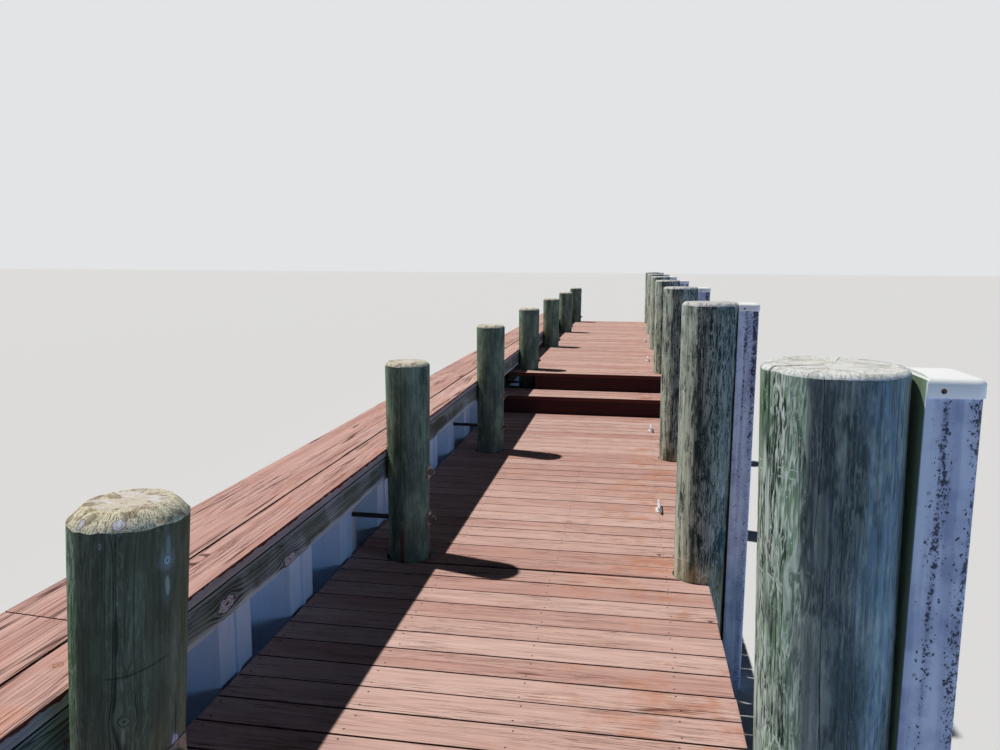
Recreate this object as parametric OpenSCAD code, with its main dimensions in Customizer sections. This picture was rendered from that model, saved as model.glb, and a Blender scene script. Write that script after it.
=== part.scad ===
// Timber jetty of six bays along a corrugated sheet-pile wall.
// Round piles stand in two rows and carry paired crossbeams, stringers and a board deck.
// Two risers lift the deck part of the way along. Fender posts stand outside the seaward piles.
// Millimetres. +X points seaward, +Y runs along the jetty, +Z is up.
// The origin is the middle of the whole footprint, at the level where the piles meet the water.

/* [Bays] */
// Number of whole bays
bays = 6; // [4:1:6]
// Distance from one bent of piles to the next
bay_len = 2438.4; // [1800:0.4:3000]
// Bent just past the steps, counted from the near end
step_bent = 4; // [3:1:4]
// Length of deck before the first bent
near_end = 370; // [330:1:500]
// Length of deck past the last bent
far_end = 239.6; // [200:0.1:500]

/* [Deck] */
// Top of the lower deck above the water
deck_h = 560; // [540:1:900]
// Width of the deck from the sheet wall to its seaward edge
deck_w = 1868; // [1500:1:2400]
// Thickness of a deck board
board_t = 38; // [25:1:50]
// Gap round a pile where the deck is cut for it
pile_gap = 6; // [3:1:15]
// Gap between two lengths of timber that meet end to end
butt_gap = 3; // [2:1:6]
// Distance past a bent at which the deck of one bay ends and the next begins
deck_joint = 64; // [0:1:90]

/* [Framing] */
// Thickness of the stringers and crossbeams
joist_t = 38; // [30:1:60]
// Depth of a stringer
stringer_h = 184; // [140:1:235]
// Depth of a crossbeam
beam_h = 235; // [184:1:286]
// How far each crossbeam is let into the landward piles
beam_dap = 4; // [2:1:12]
// Clearance between a stringer and the seaward pile beside it
stringer_gap = 6; // [3:1:20]

/* [Steps] */
// Height of each riser
rise = 182; // [150:1:200]
// Depth of the tread between the two risers
tread_d = 456; // [300:1:600]
// Distance from the upper riser to the bent past it
step_setback = 295; // [250:1:500]
// How far a tread stands proud of the riser below it
nosing = 6; // [0:1:25]

/* [Landward piles] */
// Diameter at the top of a landward pile
land_pile_d = 230; // [180:1:320]
// Height of the landward pile tops above the lower deck
land_pile_top = 1050; // [1000:1:1300]
// Width of the bevel round a landward pile top
land_bevel = 17; // [5:1:40]

/* [Seaward piles] */
// Diameter at the top of a seaward pile
sea_pile_d = 272; // [200:1:340]
// Height of the seaward pile tops above the lower deck
sea_pile_top = 1376; // [1100:1:1700]
// Distance of the pile centres inside the seaward edge of the deck
sea_pile_inset = 38; // [0:1:60]
// Width of the bevel round a seaward pile top
sea_bevel = 14; // [5:1:40]
// Growth of a pile's diameter for each metre of height
pile_taper = 15; // [0:1:25]

/* [First piles] */
// Diameter at the top of the first landward pile
first_land_d = 245; // [200:1:320]
// Width of the bevel round its top
first_land_bevel = 32; // [5:1:50]
// Lean of the first landward pile towards the water, in degrees
first_land_lean = 4.1; // [0:0.1:5]
// Distance that it stands clear of the wale at its bolt
first_stand_off = 38; // [0:1:60]
// Diameter at the top of the first seaward pile
first_sea_d = 251; // [200:1:340]
// Width of the bevel round its top
first_sea_bevel = 7; // [5:1:40]
// Lean of the first seaward pile away from its fender post, in degrees
first_sea_lean = 1.4; // [0:0.1:2]
// Depth of the flat cut on it that its fender bears on, at deck level
first_fender_dap = 15.5; // [5:0.5:40]

/* [Fender posts] */
// Depth of a fender timber, measured away from its pile
fender_d = 89; // [60:1:140]
// Width of a fender timber along the jetty
fender_w = 140; // [89:1:190]
// Depth of the flat cut on the pile that the fender bears on
fender_dap = 3; // [2:1:12]
// Thickness of the plastic cover round three sides of a fender
cover_t = 4.5; // [3:0.5:8]
// Radius of the outer corners of the cover
cover_r = 14; // [8:1:25]
// Fender cap height above the lower deck
fender_top = 1372; // [1000:1:1700]
// Height of the skirt of the fender cap
cap_skirt = 32; // [15:1:60]
// Thickness of the fender cap
cap_wall = 4; // [3:0.5:8]

/* [Mooring cleats] */
// Length of a cleat from tip to tip
cleat_len = 203; // [150:1:305]
// Height of a cleat above the deck
cleat_h = 50; // [40:1:80]
// Diameter of the bar of a cleat
cleat_bar = 20; // [14:1:30]
// Thickness of the base of a cleat
cleat_base_t = 7; // [5:1:12]
// Distance from a bent to the cleat past it
cleat_y = 1040; // [300:1:1500]
// First bay that has a cleat
cleat_bay = 2; // [1:1:6]

/* [Sheet wall] */
// Width of one sheet between its two locks
sheet_w = 304.8; // [280:0.1:457]
// Depth of the corrugation
sheet_d = 180; // [120:1:260]
// Wall thickness of a sheet
sheet_t = 6; // [5:0.5:10]
// Width of the flat face shared by two sheets
pan_w = 240; // [200:1:244]
// Width of the head at the end of a sheet, which the next sheet holds
lock_head = 16; // [12:1:20]
// Clearance inside a lock
lock_clear = 1; // [0.5:0.1:2]
// Wall thickness of the lock's socket
lock_wall = 5; // [4:0.5:8]

/* [Wale and cap] */
// Thickness of the wale between the sheets and the piles
wale_t = 197; // [140:1:230]
// Height of the wale
wale_h = 152; // [120:1:190]
// Chamfer along the lower seaward edge of the wale
wale_chamfer = 24; // [5:1:40]
// Top of the cap boards above the lower deck
cap_top = 595; // [580:1:800]
// Small chamfer along the upper seaward edge of the wale
wale_ease = 7; // [2:1:12]
// Width of the inner cap board
inner_cap_w = 158; // [120:1:190]
// Width of the outer cap board
outer_cap_w = 286; // [235:1:300]
// Gap between the two cap boards
cap_joint = 8; // [4:1:15]
// How far the inner cap board hangs over the wale
cap_overhang = 8; // [0:1:30]
// Distance from the first bent to the first butt joint of the outer cap boards
cap_butt = 320; // [200:1:1000]
// Height of the wale bolts above the underside of the wale
wale_bolt_up = 60; // [45:1:90]
// Depth of the flat cut on a landward pile that bears on the wale
wale_dap = 2; // [1:1:8]

/* [Ironwork] */
// Diameter of the tie rods
rod_d = 25; // [16:1:32]
// Diameter of the threaded landward end of a tie rod, where an anchor rod is coupled on
rod_end_d = 22; // [14:1:32]
// Length of the threaded landward end of a tie rod
rod_end_len = 110; // [60:1:160]
// Height of the tie rods above the lower deck
rod_z = 210; // [190:1:300]
// Diameter of the bolts through piles and timbers
bolt_d = 19; // [12:1:25]
// Radial clearance of a rod or bolt in its hole
rod_clear = 1; // [0.5:0.1:3]
// Width of a square plate washer
washer_w = 70; // [50:1:100]
// Thickness of a washer
washer_t = 8; // [5:1:12]
// Depth of the flat cut in a pile for a washer
washer_seat = 6; // [4:1:12]
// Length of thread that stands out past a nut
thread_out = 14; // [5:1:40]

/* [Hidden] */
$fn = 64;
EPS = 1;
HEX = 6;
// Length of pile that is made below the waterline and cut off level
FOOT_CUT = 50;
// Nut width across corners, nut height, bolt head height and round washer width over bolt diameter
NUT_W = 1.75;
NUT_H = 0.8;
HEAD_H = 0.65;
ROUND_WASHER_W = 2.6;

// Heights above the water
upper_h = deck_h + 2 * rise;
cap_z = deck_h + cap_top;
sheet_h = cap_z - board_t;
wale_z = sheet_h - wale_h;
rod_h = deck_h + rod_z;
wale_bolt_h = wale_z + wale_bolt_up;
lower_stringer_z = deck_h - board_t - stringer_h;
upper_stringer_z = upper_h - board_t - stringer_h;
lower_beam_z = lower_stringer_z - beam_h;
upper_beam_z = upper_stringer_z - beam_h;
tread_h = deck_h + rise;

// Distances seaward of the outer face of the sheets
lock_proud = lock_head / 2 + lock_clear + lock_wall - sheet_t / 2;
wale_x = lock_proud + wale_t;
deck_x0 = lock_proud + butt_gap;
sea_pile_x = deck_w - sea_pile_inset;
cap_inner_x = wale_x + cap_overhang;
cap_split_x = cap_inner_x - inner_cap_w;
cap_outer_x = cap_split_x - cap_joint - outer_cap_w;
fender_x = sea_pile_x + sea_r(2, deck_h) - fender_dap;
fender_face_x = fender_x + fender_d + cover_t + cap_wall;

// Distances along the jetty from its near end
jetty_len = near_end + bays * bay_len + far_end;
sheet_count = round(jetty_len / sheet_w);
socket_y = sheet_t / 2 + lock_clear + lock_wall;
wall_y1 = sheet_count * sheet_w + sheet_t / 2;
upper_riser_y = bent_y(step_bent) - step_setback;
lower_riser_y = upper_riser_y - tread_d;
cap_len = 2 * bay_len;

// Middle of the footprint
mid_x = (cap_outer_x + fender_face_x) / 2;
mid_y = (max(jetty_len, wall_y1) - socket_y) / 2;

// Framing
beam_face_y = taper_r(land_pile_d, deck_h + land_pile_top, lower_stringer_z) - beam_dap;
stringer_first_x = deck_x0 + joist_t;
stringer_last_x = sea_pile_x - sea_r(2, deck_h) - stringer_gap - joist_t;
pile_face_x = max([for (i = [1, 2]) washer_x(i, rod_h)]);
stringer_second_x = pile_face_x + washer_t + NUT_H * rod_d + thread_out + stringer_gap + joist_t;
stringer_xs = [
    stringer_first_x,
    stringer_second_x,
    (stringer_second_x + stringer_last_x) / 2,
    stringer_last_x
];

// Positions along the jetty of a bent, and of the deck joint past it
function bent_y(i) = near_end + (i - 1) * bay_len;
function joint_y(i) = bent_y(i) + deck_joint;

// Radius of a pile at a height, from its top diameter
function taper_r(top_d, top_z, z) = (top_d - pile_taper * (top_z - z) / 1000) / 2;
function land_d(i) = i == 1 ? first_land_d : land_pile_d;
function sea_d(i) = i == 1 ? first_sea_d : sea_pile_d;
function land_r(i, z) = taper_r(land_d(i), deck_h + land_pile_top, z);
function sea_r(i, z) = taper_r(sea_d(i), deck_h + sea_pile_top, z);

// Lean of a pile towards the water, in degrees
function land_lean(i) = i == 1 ? first_land_lean : 0;
function sea_lean(i) = i == 1 ? -first_sea_lean : 0;

// Position of a pile's axis at a height. The landward piles bear on the wale, except the first.
function land_x(i, z) = wale_x + land_r(i, wale_bolt_h) + (i == 1 ? first_stand_off : -wale_dap)
    + (z - wale_bolt_h) * tan(land_lean(i));
function sea_x(i, z) = (i == 1 ? fender_x - sea_r(1, deck_h) + first_fender_dap : sea_pile_x)
    + (z - deck_h) * tan(sea_lean(i));

// Heights of the crossbeams at a bent
function beam_levels(i) = concat(
    i <= step_bent ? [lower_beam_z] : [],
    i >= step_bent ? [upper_beam_z] : []
);

// Moves the work from the near corner of the sheets to the middle of the footprint
module place() {
    translate([-mid_x, -mid_y, 0]) children();
}

// Block given by its two corners
module block(low, high) {
    translate(low) cube(high - low);
}

// Tapered pile with a bevelled top, leaning about the foot of its axis and cut off level there
module pile_shaft(top_d, top_z, bevel, lean) {
    shaft_z = top_z - bevel;
    difference() {
        rotate([0, lean, 0]) {
            translate([0, 0, -FOOT_CUT])
                cylinder(r1 = taper_r(top_d, top_z, -FOOT_CUT), r2 = taper_r(top_d, top_z, shaft_z),
                         h = shaft_z + FOOT_CUT);
            translate([0, 0, shaft_z])
                cylinder(r1 = taper_r(top_d, top_z, shaft_z), r2 = top_d / 2 - bevel, h = bevel);
        }
        block([-top_d, -top_d, -2 * FOOT_CUT], [top_d, top_d, 0]);
    }
}

// Seats cut in both sides of a pile for the pairs of crossbeams
module beam_daps(i, x) {
    for (z = beam_levels(i), side = [-1, 1])
        translate([x, bent_y(i), z])
            block([-sea_pile_d, side < 0 ? -sea_pile_d : beam_face_y, 0],
                  [sea_pile_d, side < 0 ? -beam_face_y : sea_pile_d, beam_h]);
}

// Places of the two bolts that clamp a pair of crossbeams on its piles, at a bent and a height
function beam_bolt_xs(i, z) = [land_x(i, z), sea_pile_x];

// Holes for the crossbeam bolts of one bent
module beam_bolt_holes(i) {
    for (z = beam_levels(i), x = beam_bolt_xs(i, z + beam_h / 2))
        translate([x, bent_y(i), z + beam_h / 2]) rotate([90, 0, 0])
            cylinder(d = bolt_d + 2 * rod_clear, h = 2 * sea_pile_d, center = true);
}

// Cylinder along X, for a rod or for its hole
module along_x(d, x0, x1, y, z) {
    translate([x0, y, z]) rotate([0, 90, 0]) cylinder(d = d, h = x1 - x0);
}

// Holes for the tie rod and the wale bolt of one bent
module rod_holes(i, x0, x1) {
    along_x(rod_d + 2 * rod_clear, x0, x1, bent_y(i), rod_h);
    along_x(bolt_d + 2 * rod_clear, x0, x1, bent_y(i), wale_bolt_h);
}

// Face of a landward pile that a washer at a given height bears on
function washer_x(i, z) = land_x(i, z) + land_r(i, z) - washer_seat;

// Flat seat for a washer on the seaward side of a landward pile
module washer_flat(i, z) {
    half = washer_w / 2 + EPS;
    translate([washer_x(i, z), bent_y(i), z]) block([0, -half, -half], [sea_pile_d, half, half]);
}

module landward_pile(i) {
    color([0.30, 0.38, 0.32]) place() difference() {
        translate([land_x(i, 0), bent_y(i), 0])
            pile_shaft(land_d(i), deck_h + land_pile_top, i == 1 ? first_land_bevel : land_bevel,
                       land_lean(i));
        block([wale_x - sea_pile_d, bent_y(i) - sea_pile_d, wale_z],
              [wale_x, bent_y(i) + sea_pile_d, wale_z + wale_h]);
        beam_daps(i, land_x(i, 0));
        beam_bolt_holes(i);
        rod_holes(i, 0, deck_w);
        for (z = [rod_h, wale_bolt_h]) washer_flat(i, z);
    }
}

module seaward_pile(i) {
    color([0.36, 0.42, 0.36]) place() difference() {
        translate([sea_x(i, 0), bent_y(i), 0])
            pile_shaft(sea_d(i), deck_h + sea_pile_top, i == 1 ? first_sea_bevel : sea_bevel,
                       sea_lean(i));
        translate([fender_x, bent_y(i) - sea_pile_d, -EPS])
            cube([sea_pile_d, 2 * sea_pile_d, deck_h + sea_pile_top + 2 * EPS]);
        beam_daps(i, sea_x(i, 0));
        beam_bolt_holes(i);
    }
}

module fender_timbers() {
    color([0.38, 0.45, 0.38]) place() for (i = [1:bays + 1])
        translate([fender_x, bent_y(i) - fender_w / 2, 0])
            cube([fender_d, fender_w, deck_h + fender_top - cap_wall]);
}

// Outline of a fender timber grown outwards by a wall, with rounded seaward corners
module fender_outline(grow) {
    half = fender_w / 2 + grow;
    depth = fender_d + grow;
    translate([0, -half]) square([depth - cover_r, 2 * half]);
    translate([0, cover_r - half]) square([depth, 2 * (half - cover_r)]);
    for (side = [-1, 1]) translate([depth - cover_r, side * (half - cover_r)]) circle(r = cover_r);
}

// Covers wrap the three sides of the fender timbers that face away from the piles
module fender_covers() {
    color([0.86, 0.87, 0.88]) place() for (i = [1:bays + 1])
        translate([fender_x, bent_y(i), 0])
            linear_extrude(deck_h + fender_top - cap_wall) difference() {
                fender_outline(cover_t);
                translate([-EPS, -fender_w / 2]) square([fender_d + EPS, fender_w]);
            }
}

module fender_caps() {
    lid_z = deck_h + fender_top - cap_wall;
    color([0.93, 0.94, 0.95]) place() for (i = [1:bays + 1])
        translate([fender_x, bent_y(i), 0]) {
            translate([0, 0, lid_z]) linear_extrude(cap_wall) fender_outline(cover_t + cap_wall);
            translate([0, 0, lid_z - cap_skirt]) linear_extrude(cap_skirt) difference() {
                fender_outline(cover_t + cap_wall);
                fender_outline(cover_t);
            }
        }
}

// Pair of crossbeams at one bent, one on each side of the piles
module crossbeam_pair(i, z) {
    difference() {
        for (side = [-1, 1])
            translate([deck_x0, bent_y(i) + (side < 0 ? -beam_face_y - joist_t : beam_face_y), z])
                cube([deck_w - deck_x0, joist_t, beam_h]);
        beam_bolt_holes(i);
    }
}

module lower_crossbeams() {
    color([0.35, 0.37, 0.30]) place() for (i = [1:step_bent]) crossbeam_pair(i, lower_beam_z);
}

module upper_crossbeams() {
    color([0.35, 0.37, 0.30]) place() for (i = [step_bent:bays + 1]) crossbeam_pair(i, upper_beam_z);
}

// Four lines of stringers between two places along the jetty
module stringer_set(y0, y1, z) {
    for (x = stringer_xs) block([x - joist_t / 2, y0, z], [x + joist_t / 2, y1, z + stringer_h]);
}

// Lower stringers: one length to a bay, the last notched under the upper crossbeams
module lower_stringers() {
    notch_y = bent_y(step_bent) - beam_face_y - joist_t - butt_gap;
    color([0.37, 0.38, 0.31]) place() difference() {
        for (i = [1:step_bent - 1])
            stringer_set(i == 1 ? 0 : bent_y(i) + butt_gap / 2,
                         i == step_bent - 1 ? bent_y(step_bent) : bent_y(i + 1) - butt_gap / 2,
                         lower_stringer_z);
        block([0, notch_y, upper_beam_z - butt_gap], [deck_w, bent_y(step_bent) + EPS, deck_h]);
    }
}

// Upper stringers: the landward line is drilled where the tie rods pass through it
module upper_stringers() {
    color([0.37, 0.38, 0.31]) place() difference() {
        for (i = [step_bent:bays])
            stringer_set(i == step_bent ? upper_riser_y + joist_t : bent_y(i) + butt_gap / 2,
                         i == bays ? jetty_len : bent_y(i + 1) - butt_gap / 2,
                         upper_stringer_z);
        for (i = [step_bent:bays + 1])
            along_x(rod_d + 2 * rod_clear, 0, land_x(i, rod_h), bent_y(i), rod_h);
    }
}

// Length of deck with the places cut out where the piles of the bents pass through it
module deck_length(y0, y1, top) {
    difference() {
        block([deck_x0, y0, top - board_t], [deck_w, y1, top]);
        for (i = [1:bays + 1]) if (bent_y(i) > y0 - sea_pile_d && bent_y(i) < y1 + sea_pile_d) {
            translate([land_x(i, top - board_t / 2), bent_y(i), top - board_t - EPS])
                cylinder(r = land_r(i, top) + pile_gap, h = board_t + 2 * EPS);
            translate([sea_x(i, top - board_t / 2), bent_y(i), top - board_t - EPS])
                cylinder(r = sea_r(i, top) + pile_gap, h = board_t + 2 * EPS);
        }
    }
}

module near_end_deck() {
    color([0.55, 0.32, 0.26]) place() deck_length(0, joint_y(1), deck_h);
}

module lower_deck(i) {
    color([0.58, 0.34, 0.27]) place()
        deck_length(joint_y(i), i == step_bent - 1 ? lower_riser_y + joist_t : joint_y(i + 1), deck_h);
}

module upper_deck(i) {
    color([0.58, 0.34, 0.27]) place() deck_length(joint_y(i), joint_y(i + 1), upper_h);
}

module far_end_deck() {
    color([0.55, 0.32, 0.26]) place() deck_length(joint_y(bays + 1), jetty_len, upper_h);
}

module step_landing() {
    color([0.55, 0.32, 0.26]) place()
        deck_length(upper_riser_y - nosing, joint_y(step_bent), upper_h);
}

module step_tread() {
    color([0.56, 0.33, 0.26]) place()
        block([deck_x0, lower_riser_y - nosing, tread_h - board_t],
              [deck_w, upper_riser_y + joist_t, tread_h]);
}

module lower_riser() {
    color([0.36, 0.20, 0.17]) place()
        block([deck_x0, lower_riser_y, deck_h], [deck_w, lower_riser_y + joist_t, tread_h - board_t]);
}

// The upper riser stops at the seaward side of the landward pile
module upper_riser() {
    color([0.36, 0.20, 0.17]) place()
        block([land_x(step_bent, upper_h) + land_r(step_bent, upper_h), upper_riser_y, tread_h],
              [deck_w, upper_riser_y + joist_t, upper_h - board_t]);
}

// Bearers that carry the tread on the lower stringers
module step_bearers() {
    color([0.37, 0.38, 0.31]) place() for (x = stringer_xs)
        block([x - joist_t / 2, lower_riser_y + joist_t, deck_h - board_t],
              [x + joist_t / 2, upper_riser_y + joist_t, tread_h - board_t]);
}

// Plan of one sheet from the lock at its start to the head at its end.
// The start lies in the outer pan, and the corrugation falls back to the inner pan.
module sheet_plan() {
    half = pan_w / 2;
    slant_y = sheet_w - pan_w;
    mitre = sheet_t * sheet_d / (norm([sheet_d, slant_y]) + slant_y);
    polygon([
        [0, socket_y], [0, half], [-sheet_d, sheet_w - half], [-sheet_d, sheet_w],
        [-sheet_d - sheet_t, sheet_w], [-sheet_d - sheet_t, sheet_w - half - mitre],
        [-sheet_t, half - mitre], [-sheet_t, socket_y]
    ]);
    translate([-sheet_d - sheet_t / 2 - lock_head / 2, sheet_w - sheet_t / 2])
        square([lock_head, sheet_t]);
    translate([-sheet_t / 2, 0]) socket_plan();
}

// Plan of the socket that holds the head of the next sheet, with its mouth towards that sheet
module socket_plan() {
    room_x = lock_head / 2 + lock_clear;
    room_y = socket_y - lock_wall;
    mouth_x = sheet_t / 2 + lock_clear;
    difference() {
        translate([-room_x - lock_wall, -socket_y]) square([2 * (room_x + lock_wall), 2 * socket_y]);
        translate([-room_x, -room_y]) square([2 * room_x, 2 * room_y]);
        translate([-mouth_x, -socket_y - EPS]) square([2 * mouth_x, lock_wall + 2 * EPS]);
    }
}

// One sheet of the wall. Every other one is turned about, starting with the first.
module sheet(n) {
    turned = 1 - n % 2;
    translate([-turned * (sheet_d + sheet_t), n * sheet_w, 0])
        mirror([turned, 0, 0]) linear_extrude(sheet_h) sheet_plan();
}

// Bay of the jetty that a sheet belongs to
function sheet_bay(n) =
    min(bays, max(1, 1 + floor(((n + 0.5) * sheet_w - near_end) / bay_len)));

module sheet_piling(i) {
    color([0.70, 0.75, 0.80]) place() difference() {
        for (n = [0:sheet_count - 1]) if (sheet_bay(n) == i) sheet(n);
        for (b = [i, i + 1]) rod_holes(b, -sheet_d * 2, lock_proud + EPS);
    }
}

// Ends of the lengths of wale and of the cap boards
function run_cuts(first) = [for (y = [first:cap_len:jetty_len - EPS]) y];
function run_starts(first) = concat([0], run_cuts(first));
function run_ends(first) = concat(run_cuts(first), [jetty_len]);

// Lengths of timber laid end to end along the whole jetty, from a profile in X and Z
module run(first) {
    starts = run_starts(first);
    ends = run_ends(first);
    for (k = [0:len(starts) - 1]) {
        y0 = starts[k] + (k == 0 ? 0 : butt_gap / 2);
        y1 = ends[k] - (k == len(starts) - 1 ? 0 : butt_gap / 2);
        translate([0, y1, 0]) rotate([90, 0, 0]) linear_extrude(y1 - y0) children();
    }
}

module wale() {
    color([0.40, 0.44, 0.38]) place() difference() {
        run(bent_y(2)) polygon([
            [lock_proud, wale_z], [wale_x - wale_chamfer, wale_z], [wale_x, wale_z + wale_chamfer],
            [wale_x, sheet_h - wale_ease], [wale_x - wale_ease, sheet_h], [lock_proud, sheet_h]
        ]);
        for (i = [1:bays + 1])
            along_x(bolt_d + 2 * rod_clear, 0, wale_x + EPS, bent_y(i), wale_bolt_h);
    }
}

module outer_cap_boards() {
    color([0.62, 0.38, 0.30]) place() run(bent_y(1) + cap_butt)
        translate([cap_outer_x, cap_z - board_t]) square([outer_cap_w, board_t]);
}

module inner_cap_boards() {
    color([0.64, 0.40, 0.31]) place() difference() {
        run(bent_y(2) + cap_butt)
            translate([cap_split_x, cap_z - board_t]) square([inner_cap_w, board_t]);
        for (i = [1:bays + 1])
            translate([land_x(i, cap_z), bent_y(i), cap_z - board_t - EPS])
                cylinder(r = land_r(i, cap_z) + pile_gap / 2, h = board_t + 2 * EPS);
    }
}

// Cleat along the jetty: a round-ended base, two stems, and a bar that tapers to its tips
module cleat() {
    stem_y = cleat_len / 6;
    bar_z = cleat_h - cleat_bar / 2;
    block([-cleat_bar, -stem_y, 0], [cleat_bar, stem_y, cleat_base_t]);
    for (side = [-1, 1]) {
        translate([0, side * stem_y, 0]) cylinder(r = cleat_bar, h = cleat_base_t);
        translate([0, side * stem_y, 0]) cylinder(d1 = 1.4 * cleat_bar, d2 = 0.8 * cleat_bar, h = bar_z);
        translate([0, side * cleat_len / 4, bar_z]) rotate([-side * 90, 0, 0])
            cylinder(d1 = cleat_bar, d2 = cleat_bar / 2, h = cleat_len / 4);
    }
    translate([0, 0, bar_z]) rotate([90, 0, 0]) cylinder(d = cleat_bar, h = cleat_len / 2, center = true);
}

// Cleats stand on the deck over the seaward stringers
module mooring_cleats() {
    color([0.66, 0.68, 0.69]) place() for (i = [cleat_bay:bays])
        translate([stringer_last_x, bent_y(i) + cleat_y, i < step_bent ? deck_h : upper_h]) cleat();
}

// Tie rods run from behind the sheets through the landward piles
module tie_rods() {
    color([0.14, 0.13, 0.13]) place() for (i = [1:bays + 1]) {
        along_x(rod_end_d, cap_outer_x, cap_outer_x + rod_end_len, bent_y(i), rod_h);
        along_x(rod_d, cap_outer_x + rod_end_len,
                washer_x(i, rod_h) + washer_t + NUT_H * rod_d + thread_out, bent_y(i), rod_h);
    }
}

module tie_rod_washers() {
    color([0.30, 0.24, 0.20]) place() for (i = [1:bays + 1]) difference() {
        translate([washer_x(i, rod_h), bent_y(i) - washer_w / 2, rod_h - washer_w / 2])
            cube([washer_t, washer_w, washer_w]);
        along_x(rod_d, 0, deck_w, bent_y(i), rod_h);
    }
}

// Hexagon nut with its axis along X
module nut_x(d, x, y, z) {
    translate([x, y, z]) rotate([0, 90, 0]) difference() {
        cylinder(d = NUT_W * d, h = NUT_H * d, $fn = HEX);
        translate([0, 0, -EPS]) cylinder(d = d, h = d);
    }
}

module tie_rod_nuts() {
    color([0.26, 0.22, 0.20]) place() for (i = [1:bays + 1])
        nut_x(rod_d, washer_x(i, rod_h) + washer_t, bent_y(i), rod_h);
}

// Bolts that clamp the wale between the sheets and the piles, each with its washers and nuts
module wale_bolts() {
    color([0.28, 0.26, 0.25]) place() for (i = [1:bays + 1]) {
        x1 = washer_x(i, wale_bolt_h);
        along_x(bolt_d, -sheet_t - washer_t - bolt_d, x1 + washer_t + bolt_d + thread_out / 2,
               bent_y(i), wale_bolt_h);
        for (x = [-sheet_t - washer_t, x1])
            translate([x, bent_y(i) - washer_w / 2, wale_bolt_h - washer_w / 2])
                cube([washer_t, washer_w, washer_w]);
        for (x = [-sheet_t - washer_t - NUT_H * bolt_d, x1 + washer_t])
            translate([x, bent_y(i), wale_bolt_h]) rotate([0, 90, 0])
                cylinder(d = NUT_W * bolt_d, h = NUT_H * bolt_d, $fn = HEX);
    }
}

// Bolts through each pair of crossbeams and the pile between them
module crossbeam_bolts() {
    half = beam_face_y + joist_t;
    head = HEAD_H * bolt_d;
    color([0.28, 0.26, 0.25]) place()
        for (i = [1:bays + 1], z = beam_levels(i), x = beam_bolt_xs(i, z + beam_h / 2))
            translate([x, bent_y(i), z + beam_h / 2]) rotate([90, 0, 0]) {
                cylinder(d = bolt_d, h = 2 * (half + washer_t / 2 + head), center = true);
                for (side = [-1, 1]) translate([0, 0, side * (half + washer_t / 4)]) {
                    cylinder(d = ROUND_WASHER_W * bolt_d, h = washer_t / 2, center = true);
                    translate([0, 0, side * (washer_t / 4 + head / 2)])
                        cylinder(d = NUT_W * bolt_d, h = head, center = true, $fn = HEX);
                }
            }
}

for (i = [1:bays + 1]) {
    landward_pile(i);
    seaward_pile(i);
}
for (i = [1:bays])
    sheet_piling(i);
for (i = [1:step_bent - 1])
    lower_deck(i);
for (i = [step_bent:bays])
    upper_deck(i);
fender_timbers();
fender_covers();
fender_caps();
lower_crossbeams();
upper_crossbeams();
lower_stringers();
upper_stringers();
near_end_deck();
far_end_deck();
step_bearers();
lower_riser();
step_tread();
upper_riser();
step_landing();
wale();
outer_cap_boards();
inner_cap_boards();
mooring_cleats();
tie_rods();
tie_rod_washers();
tie_rod_nuts();
wale_bolts();
crossbeam_bolts();
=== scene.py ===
"""Looks of a timber jetty that runs along a sheet-pile wall.

Boards, piles, fender posts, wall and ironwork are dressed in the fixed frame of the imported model.
Lengths are in metres. X points seaward, Y runs along the jetty and Z is up.
"""
import logging
import math
import random
from dataclasses import dataclass, field, replace
from enum import Enum
from typing import ClassVar

import bmesh
import bpy
from mathutils import Matrix, Vector, noise


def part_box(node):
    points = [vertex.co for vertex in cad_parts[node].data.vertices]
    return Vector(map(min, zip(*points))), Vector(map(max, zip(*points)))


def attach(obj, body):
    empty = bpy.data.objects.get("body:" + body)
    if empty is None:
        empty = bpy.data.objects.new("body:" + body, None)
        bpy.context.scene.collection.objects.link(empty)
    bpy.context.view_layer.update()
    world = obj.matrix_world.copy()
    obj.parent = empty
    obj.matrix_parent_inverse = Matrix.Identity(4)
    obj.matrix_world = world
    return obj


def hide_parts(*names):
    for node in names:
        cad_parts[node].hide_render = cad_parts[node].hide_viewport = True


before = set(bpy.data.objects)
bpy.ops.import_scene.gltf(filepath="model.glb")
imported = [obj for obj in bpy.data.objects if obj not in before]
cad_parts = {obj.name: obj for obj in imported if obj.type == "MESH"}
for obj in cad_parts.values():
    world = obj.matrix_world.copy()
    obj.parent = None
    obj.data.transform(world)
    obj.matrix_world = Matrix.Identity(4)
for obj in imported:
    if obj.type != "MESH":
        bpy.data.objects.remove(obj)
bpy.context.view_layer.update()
LOG = logging.getLogger("jetty")

Point = tuple[float, float]
Triple = tuple[float, float, float]
Colour = tuple[float, float, float, float]
Loop = list[int]

BODY = "root"
BAY = 2.4384
FIRST_BENT_Y = -7.247
BENTS = 7
STEP_BENT = 4
NEAR_END_Y = -7.617
FAR_END_Y = 7.623
LOWER_DECK_Z = 0.560
UPPER_DECK_Z = 0.924
CAP_TOP_Z = 1.155
STRINGER_XS = (-0.8551, -0.3651, 0.1941, 0.7532)
BOARD_PITCH = 0.1524
PILE_TAPER = 0.015
FENDER_FACE_X = 1.0456
WALE_FACE_X = -0.6991
WALE_ZS = (0.963, 1.119)
TIE_ROD_Z = 0.770
WALE_BOLT_Z = 1.025
ARC_STEP = 0.009
UP = (0.0, 0.0, 1.0)


def bent_y(number: int) -> float:
    """Position along the jetty of a bent, counted from 1."""
    return FIRST_BENT_Y + (number - 1) * BAY


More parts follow.
